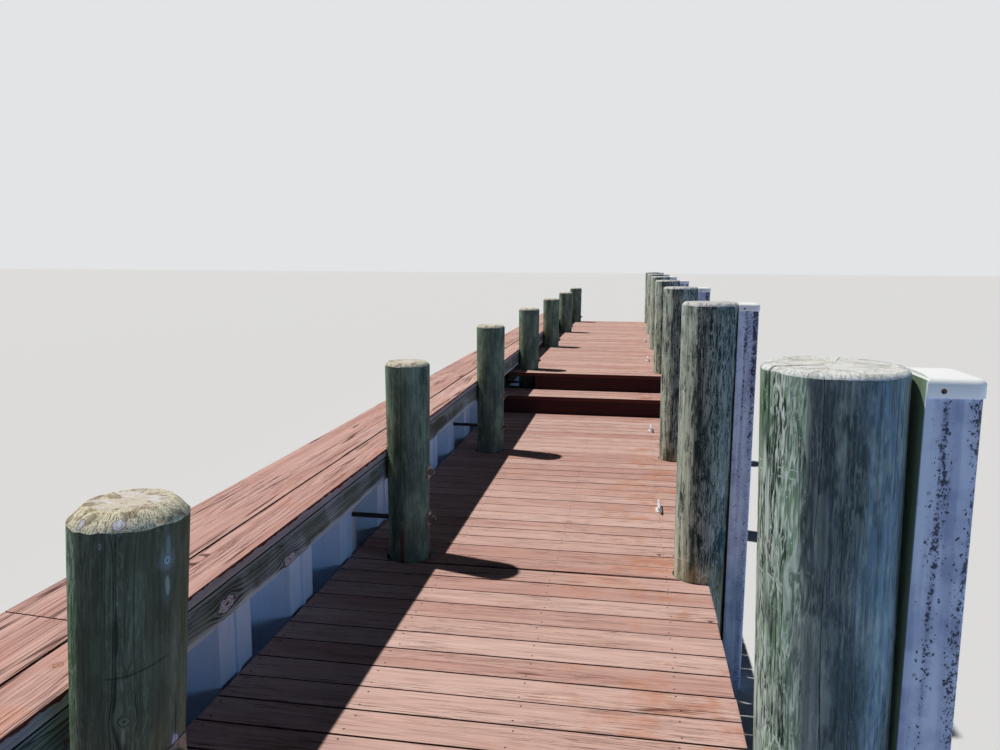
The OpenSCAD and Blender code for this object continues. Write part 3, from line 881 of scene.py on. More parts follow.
@dataclass(frozen=True, kw_only=True)
class SawnTimber(Finish):
    """Plain treated sawn timber of the frame and the fender posts."""

    run: Run
    dark: Colour
    light: Colour
    crack: Colour = (0.02, 0.02, 0.015, 1.0)

    def wire(self, w: Wiring) -> dict[str, object]:
        """Wires figure along the run, blotches and damp near the water."""
        place = w.place()
        across, along, up = w.split(place)
        orders = {
            Run.ACROSS: (across, along, up), Run.ALONG: (along, across, up),
            Run.UPRIGHT: (up, across, along),
        }
        knots = w.use(
            Knots, w.join(*orders[self.run]), Spacing_along=0.8, Spacing_across=0.2, Size=0.016, Share=0.3,
        )
        figure = w.use(
            TimberFigure, knots["Vector"], Pith_depth=0.05, Ring_width=0.009, Wander=0.08,
            Crack_width=0.026, Crack_share=0.4,
        )
        weather = w.use(Weather, place, Patch_size=0.3)
        coat = Coat(w, w.band(figure["Streak"], 0.33, 0.67), self.dark, self.light)
        coat.lay(self.dark, w.band(weather["Patch"], 0.4, 0.65) * 0.3)
        coat.lay(self.crack, figure["Rings"] ** 2.0 * 0.25)
        coat.lay(self.crack, knots["Rim"] * 0.6)
        coat.lay(self.crack, figure["Crack"] * 0.8)
        coat.lay(self.crack, w.band(weather["Patch"] * 0.2 + up, 0.34, 0.12) * 0.5)
        return {
            "Base Color": coat.colour,
            "Roughness": w.blend(figure["Fibre"], 0.92, 0.7),
            "Specular IOR Level": 0.05,
            "Normal": w.bump(figure["Height"], 0.0009, 0.9),
        }


@dataclass(frozen=True, kw_only=True)
class RoughTimber(Finish):
    """Heavy rough-sawn timber with a waney edge and pale knots."""

    dark: Colour
    body: Colour
    pale: Colour
    crack: Colour
    # Near-black painted shade for the recessed top step of the wale under the cap.
    seam: Colour
    marks: tuple[Mark, ...] = ()

    def wire(self, w: Wiring) -> dict[str, object]:
        """Wires figure along the jetty, big knots with dark fans, a paler lower edge and near-black painted
        shade in the recess under the cap.
        """
        grain = w.carried("grain_co", "Vector")
        knots = w.use(Knots, grain, Spacing_along=0.9, Spacing_across=0.22, Size=0.02, Share=0.45)
        flow = knots["Vector"]
        spots = [mark.spot(w, grain) for mark in self.marks]
        for spot in spots:
            flow = w.mix(spot["Halo"], flow, spot["Vector"])
        figure = w.use(
            TimberFigure, flow, Pith_depth=0.10, Ring_width=0.012, Wander=0.16, Crack_width=0.040,
            Crack_share=0.7,
        )
        weather = w.use(Weather, w.place(), Patch_size=0.22)
        coat = Coat(w, w.band(figure["Streak"], 0.33, 0.67), self.dark, self.body)
        coat.lay(self.pale, w.band(weather["Patch"], 0.45, 0.68) * 0.32)
        lines = figure["Rings"] ** 2.0 * 0.5
        coat.lay(self.crack, lines)
        coat.lay(self.crack, w.blend(w.band(figure["Fibre"], 0.34, 0.56), 0.35, 0.0))
        coat.lay(self.pale, w.carried("edge") * 0.75)
        coat.lay(self.pale, knots["Knot"] * 0.5)
        coat.lay(self.crack, knots["Rim"] * 0.6)
        for mark, spot in zip(self.marks, spots):
            coat.lay(self.crack, w.clamp(w.band(spot["Halo"], 0.1, 0.7) * lines * 1.8))
            mark.lay(coat, spot, self.crack, 1.0)
        coat.lay(self.crack, figure["Crack"] * 0.85)
        # Painted shade: the cut top step, in the recess under the cap, goes near black.
        coat.lay(self.seam, w.band(w.carried("cut"), 0.2, 0.8))
        return {
            "Base Color": coat.colour,
            "Roughness": w.blend(figure["Fibre"], 0.94, 0.7),
            "Specular IOR Level": 0.05,
            "Normal": w.bump(figure["Height"] + weather["Patch"] * 1.5, 0.0014, 0.9),
        }


@dataclass(frozen=True, kw_only=True)
class Vinyl(Finish):
    """Rigid vinyl with grime, runs and perhaps mildew."""

    clean: Colour
    grime: Colour
    speck: Colour = (0.05, 0.05, 0.07, 1.0)
    dirt: float
    mildew: float = 0.0
    mildew_x: float = 1.1
    foot_z: float
    rough: float = 0.42
    gloss: float = 0.2

    def wire(self, w: Wiring) -> dict[str, object]:
        """Wires grime in runs and patches, a darker foot and specks of mildew."""
        place = w.place()
        across, _, up = w.split(place)
        weather = w.use(Weather, place, Patch_size=0.07)
        patch = weather["Patch"]
        grime = (w.band(weather["Runs"], 0.46, 0.68) * 0.6 + w.band(patch, 0.44, 0.66) * 0.5) * self.dirt
        foot = w.band(patch * 0.3 + up, self.foot_z + 0.2, self.foot_z - 0.25)
        coat = Coat(w, w.clamp(grime + foot * 0.5), self.clean, self.grime)
        if self.mildew > 0.0:
            crowd = w.most(w.line(across, self.mildew_x, 0.026), w.line(across, 1.079, 0.012) * 0.45) * 0.34
            crowd = crowd + w.noise(place, (26.0, 26.0, 2.2), 2.0, 0.6) * 1.2
            density = w.band(crowd, 0.56, 0.92) * w.blend(w.band(up, 0.9, 1.75), 0.5, 1.0) * self.mildew
            coat.lay(self.speck, w.band(density, 0.45, 0.85) * w.band(patch, 0.42, 0.62) * 0.4)
            mould = w.use(Mildew, place, Density=density)
            coat.lay(self.grime, w.clamp(mould["Haze"] * 1.1))
            coat.lay(self.speck, mould["Specks"] * 0.9)
        return {
            "Base Color": coat.colour,
            "Roughness": w.blend(patch, self.rough - 0.08, self.rough + 0.2),
            "Specular IOR Level": self.gloss,
            "Normal": w.bump(weather["Speckle"] * 0.12 + patch, 0.0012, 0.6),
        }


@dataclass(frozen=True, kw_only=True)
class Iron(Finish):
    """Steel or cast iron under zinc, black coating or rust."""

    coat: Colour
    rust: Colour
    deep: Colour
    amount: float
    metal: float

    def wire(self, w: Wiring) -> dict[str, object]:
        """Wires rust over the coat, with roughness and metal following it."""
        place = w.place()
        low = 0.75 - 0.5 * self.amount
        bloom = w.band(w.noise(place, 42.0, 4.0, 0.65), low, low + 0.16)
        pits = w.noise(place, 420.0)
        brown = w.mix(w.band(w.noise(place, 120.0, 3.0, 0.6), 0.35, 0.65), self.deep, self.rust)
        coat = Coat(w, w.band(pits, 0.45, 0.7) * 0.3, self.coat, self.deep)
        coat.lay(brown, bloom)
        return {
            "Base Color": coat.colour,
            "Metallic": w.blend(bloom, self.metal, 0.05),
            "Roughness": w.blend(bloom, 0.48, 0.88),
            "Normal": w.bump(pits + bloom, 0.0005, 0.7),
        }


@dataclass(frozen=True, kw_only=True)
class StudioFloor(Finish):
    """Plain pale floor that throws less light back than it shows."""

    shown: Colour
    thrown: Colour = (0.45, 0.56, 0.76, 1.0)

    def wire(self, w: Wiring) -> dict[str, object]:
        """Wires the pale colour for the rays that show it and a deeper one for bounced light."""
        colour = w.mix(w.seen(), self.thrown, self.shown)
        return {"Base Color": colour, "Roughness": 0.95, "Specular IOR Level": 0.1}


# Its dark side colour is painted shade on the sides and front edges of the boards.
DECK = StainedTimber(
    "Deck stain", "deck_stain", light=paint(233, 198, 186), middle=paint(222, 184, 172),
    deep=paint(207, 163, 151), warm=paint(212, 150, 122), bare=paint(222, 196, 182),
    crack=paint(86, 46, 44), side=paint(96, 56, 50), warm_from=0.0, warm_to=0.95, crack_share=0.42,
    crack_width=0.032, ring_strength=0.20, tone_share=0.66, grain_strength=0.4, vein_strength=0.6,
)
# All its colours are far darker than the deck stain: painted shade for risers that face away from the key
# light.
SHADED_RISER = StainedTimber(
    "Riser stain", "riser_stain", light=paint(84, 60, 60), middle=paint(72, 50, 52), deep=paint(56, 38, 42),
    warm=paint(74, 42, 38), bare=paint(100, 66, 58), crack=paint(22, 13, 14), side=paint(76, 47, 46),
    crack_share=0.3,
)
CAP = StainedTimber(
    "Cap stain", "cap_stain", light=paint(236, 200, 190), middle=paint(227, 184, 174),
    deep=paint(210, 162, 152), warm=paint(222, 160, 132), bare=paint(220, 200, 190),
    crack=paint(56, 26, 26), side=paint(166, 162, 168), drip=paint(98, 54, 50), crack_share=0.95,
    crack_width=0.050, warm_from=-0.86, warm_to=-0.68, ring_strength=0.20, relief=0.0011, tone_share=0.5,
    grain_strength=0.28,
    marks=(
        Mark((-0.788, -7.152, CAP_TOP_Z), 0.012, paint(204, 154, 128), paint(92, 58, 46), 1.0, 0.2),
        Mark((-0.962, -6.46, CAP_TOP_Z), 0.008, paint(160, 104, 92), paint(90, 50, 44), 1.0, 0.2),
    ),
)
# Its landward and middle colours carry painted light and painted shade besides the weathering.
GREEN_PILE = RoundTimber(
    "Green pile", "green_pile", dark=paint(50, 66, 58), pale=paint(190, 214, 188),
    landward=paint(136, 166, 136),
    middle=paint(108, 132, 120), seaward=paint(106, 128, 120), foot=paint(104, 98, 82),
    end_rim=paint(255, 248, 224), end_core=paint(242, 236, 222), end_dark=paint(150, 140, 120),
    end_seam=paint(220, 214, 206), peel=0.55, peel_beyond=0.14, dark_share=0.55, foot_share=0.45,
)
# Its vivid landward colour is partly painted light; its middle colour is partly painted shade.
FIRST_GREEN_PILE = RoundTimber(
    "First green pile", "green_pile", dark=paint(50, 54, 46), pale=paint(196, 212, 190),
    landward=paint(92, 138, 94), middle=paint(82, 88, 74), seaward=paint(94, 100, 84),
    foot=paint(112, 104, 78), end_rim=paint(255, 248, 216), end_core=paint(236, 228, 212),
    end_dark=paint(140, 124, 100), end_seam=paint(232, 228, 234), peel=0.7, peel_beyond=0.13,
    dark_share=0.3, foot_share=0.6, foot_top=1.22, turn=-0.46, crack_share=0.6,
    scar=Scar(1.262, 0.024, 0.165, 0.985), mottle=0.05,
    marks=(
        Mark((1.499, 0.1147, -0.0406), 0.01, paint(160, 190, 208), paint(34, 50, 56), 1.1, 0.22, 0.75, 0.85),
        Mark((1.534, 0.115, -0.04), 0.006, paint(150, 178, 182), paint(150, 178, 182), 3.6, 0.1, 0.34, 0.0),
        Mark(
            (1.443, 0.1165, -0.04), 0.0058, paint(176, 196, 190), paint(176, 196, 190), 5.0, 0.1, 0.46, 0.0,
        ),
        Mark((1.163, 0.0581, -0.104), 0.0115, paint(122, 126, 108), paint(46, 50, 46), 1.0, 0.12, 0.5, 0.8),
        Mark((1.118, 0.057, -0.105), 0.004, paint(160, 166, 150), paint(160, 166, 150), 7.0, 0.0, 0.4, 0.0),
        Mark((1.063, 0.119, -0.0102), 0.01, paint(196, 194, 222), paint(80, 78, 96), 2.2, 0.05, 0.85, 0.6),
        Mark((1.551, 0.0156, -0.121), 0.004, paint(150, 150, 166), paint(70, 74, 80), 1.8, 0.05, 0.6, 0.7),
        Mark((1.592, 0.044, -0.101), 0.012, paint(240, 236, 244), paint(140, 134, 146), 1.4, 0.0, 0.9, 0.7),
        Mark((1.588, -0.038, -0.106), 0.011, paint(228, 226, 236), paint(104, 100, 116), 1.2, 0.0, 0.8, 0.8),
    ),
)
SECOND_GREEN_PILE = replace(
    GREEN_PILE, title="Second green pile",
    marks=(
        Mark((0.62, -0.0097, -0.1066), 0.011, paint(92, 44, 42), paint(60, 30, 30), 11.0, 0.15, 0.75, 0.0),
    ),
)
# Landward is far paler and middle far darker than weathering alone: painted light on the sunlit side,
# painted shade on the near side.
WEATHERED_PILE = RoundTimber(
    "Weathered pile", "weathered_pile", dark=paint(38, 56, 52), pale=paint(240, 254, 240),
    landward=paint(228, 248, 226), middle=paint(52, 68, 72), seaward=paint(80, 102, 110),
    foot=paint(222, 206, 150), end_rim=paint(240, 241, 240), end_core=paint(220, 220, 218),
    end_dark=paint(168, 164, 156), end_seam=paint(228, 228, 226), peel=0.95, peel_beyond=0.50,
    dark_share=0.9, foot_share=0.45, foot_top=0.76, end_crack=0.4, crack_share=0.7, mottle=0.30,
)
# Its landward and middle colours carry painted light and painted shade besides the weathering.
FIRST_WEATHERED_PILE = RoundTimber(
    "First weathered pile", "weathered_pile", dark=paint(44, 60, 52), pale=paint(236, 248, 232),
    landward=paint(144, 176, 140), middle=paint(112, 120, 129), seaward=paint(142, 168, 186),
    foot=paint(126, 132, 116), end_rim=paint(250, 252, 250), end_core=paint(240, 242, 242),
    end_dark=paint(196, 198, 194), end_seam=paint(206, 198, 182), peel=1.0, peel_beyond=0.20,
    dark_share=0.95, foot_share=0.25, foot_top=0.7, end_crack=0.15, crack_share=0.8, turn=-0.52,
)
FENDER_TIMBER = SawnTimber(
    "Fender timber", "fender_timber", run=Run.UPRIGHT, dark=paint(112, 134, 112),
    light=paint(156, 180, 148),
)
BEAM_TIMBER = SawnTimber(
    "Beam timber", "framing_timber", run=Run.ACROSS, dark=paint(98, 98, 78), light=paint(134, 132, 106),
)
STRINGER_TIMBER = replace(BEAM_TIMBER, title="Stringer timber", run=Run.ALONG)
# Its near-black seam colour is painted shade in the recess under the cap.
WALE = RoughTimber(
    "Wale timber", "wale_timber", dark=paint(80, 90, 86), body=paint(138, 150, 142),
    pale=paint(190, 206, 220), crack=paint(38, 42, 42), seam=paint(16, 14, 14),
    marks=(
        Mark((-6.5174, -0.6991, 1.0345), 0.025, paint(196, 194, 206), paint(50, 48, 56), 2.2, 0.0, 0.8, 0.9),
        Mark((-6.0465, -0.6991, 1.005), 0.023, paint(190, 188, 200), paint(52, 50, 56), 2.2, 0.0, 0.8, 0.9),
    ),
)
# White vinyl; the blue cast of its clean colour is painted sky light.
COVER_VINYL = Vinyl(
    "White vinyl", "white_vinyl", clean=paint(220, 231, 252), grime=paint(146, 156, 196),
    speck=paint(34, 38, 60), dirt=0.75, mildew=0.9, mildew_x=1.124, foot_z=-1.0,
)
CAP_PLASTIC = Vinyl(
    "Cap plastic", "cap_plastic", clean=paint(252, 254, 255), grime=paint(222, 230, 242), dirt=0.08,
    gloss=0.45, foot_z=-1.0, rough=0.34,
)
# White vinyl; the blue cast of its clean colour is painted sky light.
SHEET_VINYL = Vinyl(
    "Sheet vinyl", "sheet_vinyl", clean=paint(218, 234, 255), grime=paint(140, 156, 184), dirt=0.14,
    foot_z=0.42,
)
BLACK_IRON = Iron(
    "Black iron", "black_iron", coat=paint(44, 42, 42), rust=paint(84, 56, 40), deep=paint(30, 24, 22),
    amount=0.3, metal=0.4,
)
RUSTY_STEEL = Iron(
    "Rusty steel", "rusty_steel", coat=paint(120, 116, 112), rust=paint(98, 68, 52), deep=paint(46, 36, 32),
    amount=0.6, metal=0.5,
)
NAIL_STEEL = Iron(
    "Nail steel", "rusty_steel", coat=paint(70, 58, 54), rust=paint(86, 54, 42), deep=paint(36, 24, 22),
    amount=0.8, metal=0.3,
)
GALVANISED = Iron(
    "Galvanised iron", "galvanised_iron", coat=paint(232, 234, 234), rust=paint(138, 92, 66),
    deep=paint(112, 84, 66), amount=0.36, metal=0.2,
)
PAINTED_STEEL = Iron(
    "Painted screws", "galvanised_iron", coat=paint(176, 186, 208), rust=paint(120, 112, 116),
    deep=paint(96, 98, 112), amount=0.3, metal=0.0,
)
FLOOR = StudioFloor("Floor", "", shown=paint(226, 227, 228))


# Mesh making


class Shape:
    """Corners, faces and surface values of a piece in the making."""

    def __init__(self) -> None:
        """Starts with nothing."""
        self.corners: list[Triple] = []
        self.faces: list[tuple[int, ...]] = []
        self.vectors: dict[str, list[float]] = {"grain_co": [], "own_co": []}
        self.values: dict[str, list[float]] = {"tone": [], "edge": [], "cut": []}

    def corner(
        self, place: Vector | Triple, grain: Triple = (0.0, 0.0, 0.0), own: Triple = (0.0, 0.0, 0.0),
        tone: float = 0.5, edge: float = 0.0, cut: float = 0.0,
    ) -> int:
        """Adds a corner.

        Args:
            place: Place in the frame.
            grain: Place in the timber, with the grain along the first part.
            own: Place in the piece's own coordinates, without a random shift.
            tone: Random tone of the timber it belongs to.
            edge: 1 on an arris.
            cut: 1 on cut end grain.

        Returns:
            The number of the corner.
        """
        self.corners.append(tuple(place))
        self.vectors["grain_co"].extend(grain)
        self.vectors["own_co"].extend(own)
        for key, value in (("tone", tone), ("edge", edge), ("cut", cut)):
            self.values[key].append(value)
        return len(self.corners) - 1

    def skin(self, rings: list[Loop], tip: int | None = None) -> None:
        """Joins successive closed rings with quads and closes both ends.

        Args:
            rings: Rings of as many corners each.
            tip: Corner that the last ring runs up to, or nothing for a flat end.
        """
        for low, high in zip(rings, rings[1:]):
            for k, first in enumerate(low):
                after = (k + 1) % len(low)
                self.faces.append((first, low[after], high[after], high[k]))
        last = rings[-1]
        if tip is not None:
            self.faces.extend((first, last[(k + 1) % len(last)], tip) for k, first in enumerate(last))
        self.faces.append(tuple(rings[0]))
        if tip is None:
            self.faces.append(tuple(last))

    def piece(self, name: str, finish: Finish, node: str = "", sharp: float = 38.0) -> None:
        """Makes the piece, dresses it and lets it ride on the jetty.

        Args:
            name: Name of the piece.
            finish: Finish that it wears.
            node: Name of the plain node that it replaces, if any.
            sharp: Angle in degrees above which an edge stays crisp.
        """
        mesh = bpy.data.meshes.new(name)
        mesh.from_pydata(self.corners, [], self.faces)
        work = bmesh.new()
        work.from_mesh(mesh)
        bmesh.ops.recalc_face_normals(work, faces=work.faces)
        work.to_mesh(mesh)
        work.free()
        for key, numbers in self.vectors.items():
            mesh.attributes.new(key, "FLOAT_VECTOR", "POINT").data.foreach_set("vector", numbers)
        for key, numbers in self.values.items():
            mesh.attributes.new(key, "FLOAT", "POINT").data.foreach_set("value", numbers)
        mesh.shade_smooth()
        mesh.set_sharp_from_angle(angle=math.radians(sharp))
        mesh.materials.append(finish.material())
        made = bpy.data.objects.new(name, mesh)
        bpy.context.scene.collection.objects.link(made)
        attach(made, BODY)
        if node:
            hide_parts(node)
        LOG.info("%s: %d corners, %d faces", name, len(self.corners), len(self.faces))


def clear_of_disc(outline: list[Point], centre: Point, radius: float) -> list[list[Point]]:
    """Takes a disc out of a flat outline.

    Args:
        outline: Corners of the outline, anticlockwise.
        centre: Middle of the disc.
        radius: Radius of the disc.

    Returns:
        The outlines that are left, anticlockwise.
    """
    walk: list[tuple[Point, int]] = []
    for k, start in enumerate(outline):
        end = outline[(k + 1) % len(outline)]
        walk.append((start, 0))
        step = (end[0] - start[0], end[1] - start[1])
        gap = (start[0] - centre[0], start[1] - centre[1])
        a = step[0] ** 2 + step[1] ** 2
        b = 2.0 * (step[0] * gap[0] + step[1] * gap[1])
        c = gap[0] ** 2 + gap[1] ** 2 - radius ** 2
        inner = b * b - 4.0 * a * c
        if a == 0.0 or inner <= 0.0:
            continue
        for sign in (-1, 1):
            share = (-b + sign * math.sqrt(inner)) / (2.0 * a)
            if 0.0 < share < 1.0:
                walk.append(((start[0] + share * step[0], start[1] + share * step[1]), sign))
    chains = []
    for k, (place, kind) in enumerate(walk):
        if kind != 1:
            continue
        chain = [place]
        while walk[k][1] != -1:
            k = (k + 1) % len(walk)
            chain.append(walk[k][0])
        chains.append(chain)
    if not chains:
        return [] if math.dist(outline[0], centre) < radius else [outline]
    return join_chains(chains, centre, radius)


def join_chains(chains: list[list[Point]], centre: Point, radius: float) -> list[list[Point]]:
    """Joins the parts of an outline that a disc leaves along the edge of the disc.

    Args:
        chains: Parts of the outline, each from where it leaves the disc to where it meets it again.
        centre: Middle of the disc.
        radius: Radius of the disc.

    Returns:
        The closed outlines, anticlockwise.
    """

    def bearing(place: Point) -> float:
        """Angle of a place as seen from the middle of the disc."""
        return math.atan2(place[1] - centre[1], place[0] - centre[0])

    left = set(range(len(chains)))
    outlines = []
    while left:
        current = min(left)
        loop: list[Point] = []
        while current in left:
            left.discard(current)
            loop.extend(chains[current])
            heading = bearing(chains[current][-1])
            turns = [(heading - bearing(chain[0])) % (2.0 * math.pi) for chain in chains]
            turn, current = min((turn, number) for number, turn in enumerate(turns))
            steps = max(1, math.ceil(turn * radius / ARC_STEP))
            for k in range(1, steps):
                angle = heading - turn * k / steps
                loop.append((centre[0] + radius * math.cos(angle), centre[1] + radius * math.sin(angle)))
        outlines.append(loop)
    return outlines


def inset(outline: list[Point], depth: float) -> list[Point]:
    """Moves every corner of an outline inwards.

    Args:
        outline: Corners, anticlockwise.
        depth: Distance to move each edge.

    Returns:
        The smaller outline, with as many corners.
    """
    moved = []
    for k, here in enumerate(outline):
        before = outline[k - 1]
        after = outline[(k + 1) % len(outline)]
        first = Vector((before[1] - here[1], here[0] - before[0]))
        second = Vector((here[1] - after[1], after[0] - here[0]))
        if first.length < 1e-9 or second.length < 1e-9:
            moved.append(here)
            continue
        first.normalize()
        second.normalize()
        shift = (first + second) * (depth / max(1.0 + first.dot(second), 0.5))
        moved.append((here[0] + shift.x, here[1] + shift.y))
    return moved


def within(outline: list[Point], place: Point) -> bool:
    """Tells whether a place lies inside a flat outline.

    Args:
        outline: Corners of the outline.
        place: Place to test.

    Returns:
        True if it is inside.
    """
    inside = False
    for k, here in enumerate(outline):
        before = outline[k - 1]
        if (here[1] > place[1]) != (before[1] > place[1]):
            cross = here[0] + (place[1] - here[1]) * (before[0] - here[0]) / (before[1] - here[1])
            inside ^= place[0] < cross
    return inside


@dataclass
class Board:
    """Sawn board with eased upper arrises and slightly uneven edges."""

    run: Run
    start: float
    end: float
    low: float
    high: float
    base: float
    top: float
    seed: int
    discs: list[Triple] = field(default_factory=list)
    ease: float = 0.0025
    unevenness: float = 0.0010
    start_skew: float = 0.0
    end_skew: float = 0.0

    STEP: ClassVar[float] = 0.11

    def outline(self) -> list[Point]:
        """Outline of the board before it is cut round the piles.

        Returns:
            Corners as distances along and across, anticlockwise.
        """
        count = max(2, round((self.end - self.start) / self.STEP))
        corners: list[Point] = []
        for side, level in ((1.0, self.low), (-1.0, self.high)):
            for k in range(count + 1):
                share = k / count if side > 0.0 else 1.0 - k / count
                along = self.start + share * (self.end - self.start)
                skew = self.start_skew * (1.0 - share) + self.end_skew * share if k in (0, count) else 0.0
                uneven = self.unevenness * noise.noise(Vector((along * 2.3, self.seed * 3.7, side)))
                corners.append((along + skew * side, level + side * abs(uneven)))
        return corners

    def add_to(self, shape: Shape) -> list[list[Point]]:
        """Adds the board to a shape.

        Args:
            shape: Shape that the board joins.

        Returns:
            The outlines of the board after it is cut round the piles.
        """
        dice = random.Random(self.seed)
        shift = dice.uniform(-40.0, 40.0)
        pith = dice.uniform(-0.05, 0.05)
        tone = dice.random()
        middle = (self.low + self.high) / 2.0
        outlines = [self.outline()]
        for along, across, radius in self.discs:
            parts = [clear_of_disc(outline, (along, across), radius) for outline in outlines]
            outlines = [outline for part in parts for outline in part]
        levels = (
            (0.0, self.base, 0.0),
            (0.0, self.top - self.ease, 1.0),
            (0.3 * self.ease, self.top - 0.3 * self.ease, 1.0),
            (self.ease, self.top, 0.25),
            (self.ease + 0.006, self.top, 0.0),
        )
        for outline in outlines:
            rings = []
            for depth, height, edge in levels:
                ring = []
                for along, across in inset(outline, depth) if depth else outline:
                    grain = (along + shift, across - middle + pith, height - self.top)
                    place = self.run.place(along, across, height)
                    ring.append(shape.corner(place, grain, grain, tone, edge))
                rings.append(ring)
            shape.skin(rings)
        return outlines


@dataclass
class FastenerHeads:
    """Small round heads of nails or screws, joined into one piece."""

    radius: float = 0.0042
    sides: int = 9
    rise: float = 0.0006
    shape: Shape = field(default_factory=Shape)

    def add(self, place: Triple, normal: Triple) -> None:
        """Adds one head.

        Args:
            place: Middle of the head on the surface.
            normal: Way out of the surface.
        """
        turn = Vector(UP).rotation_difference(Vector(normal)).to_matrix()
        rings = []
        for share, height in ((1.0, -0.0015), (1.0, 0.0), (0.72, self.rise)):
            reach = self.radius * share
            spots = [Vector((reach * x, reach * y, height)) for x, y in circle(self.sides)]
            rings.append([self.shape.corner(Vector(place) + turn @ spot) for spot in spots])
        self.shape.skin(rings)


# Piles


@dataclass(frozen=True)
class PileSize:
    """Position of a pile's axis at the deck, and the diameter and height of its top."""

    x: float
    top_d: float
    top_z: float

    def radius(self, height: float) -> float:
        """Radius of the pile at a height."""
        return (self.top_d - PILE_TAPER * (self.top_z - height)) / 2.0


@dataclass(frozen=True)
class Check:
    """Drying crack that runs down a pile from its top or from lower down."""

    angle: float
    top: float
    foot: float
    width: float = 0.002
    depth: float = 0.010
    wander: float = 0.05


LANDWARD = PileSize(-0.5905, 0.230, 1.610)
SEAWARD = PileSize(0.9229, 0.272, 1.936)
FIRST_LANDWARD = PileSize(-0.5747, 0.245, 1.610)
FIRST_SEAWARD = PileSize(0.9459, 0.251, 1.936)
FIRST_LANDWARD_CHECKS = tuple(Check(*row) for row in (
    (-78.0, 1.61, 1.25, 0.0006, 0.0035, 0.03),
    (-98.0, 1.61, 1.46, 0.0005, 0.0022, 0.06),
    (-60.0, 1.44, 1.24, 0.0006, 0.0032, 0.03),
    (-42.0, 1.42, 1.3, 0.0005, 0.0025, 0.05),
    (-118.0, 1.45, 1.15, 0.0005, 0.0025, 0.08),
    (-22.0, 1.61, 1.54, 0.0005, 0.0025, 0.06),
    (-2.0, 1.22, 0.8, 0.0022, 0.01, 0.1),
    (40.0, 1.61, 0.9, 0.0018, 0.01, 0.06),
    (100.0, 1.61, 1.1, 0.0016, 0.01, 0.06),
    (150.0, 1.61, 0.7, 0.0022, 0.012, 0.06),
    (205.0, 1.61, 1.2, 0.0016, 0.01, 0.06),
))
FIRST_SEAWARD_CHECKS = tuple(Check(*row) for row in (
    (-160.0, 1.936, 1.66, 0.0036, 0.02, 0.03),
    (-113.0, 1.936, 1.6, 0.0006, 0.003, 0.1),
    (-104.0, 1.62, 1.1, 0.0005, 0.0026, 0.12),
    (-92.0, 1.88, 1.45, 0.0006, 0.003, 0.09),
    (-80.0, 1.5, 1.05, 0.0005, 0.0024, 0.12),
    (-64.0, 1.9, 1.62, 0.0005, 0.0026, 0.08),
    (-46.0, 1.936, 1.68, 0.0005, 0.0024, 0.08),
    (-140.0, 1.6, 1.38, 0.0008, 0.005, 0.1),
    (-126.0, 1.86, 1.6, 0.0008, 0.004, 0.1),
    (-172.0, 1.4, 0.6, 0.0018, 0.01, 0.08),
    (70.0, 1.936, 0.8, 0.0016, 0.01, 0.05),
    (130.0, 1.936, 1.1, 0.0018, 0.01, 0.05),
))


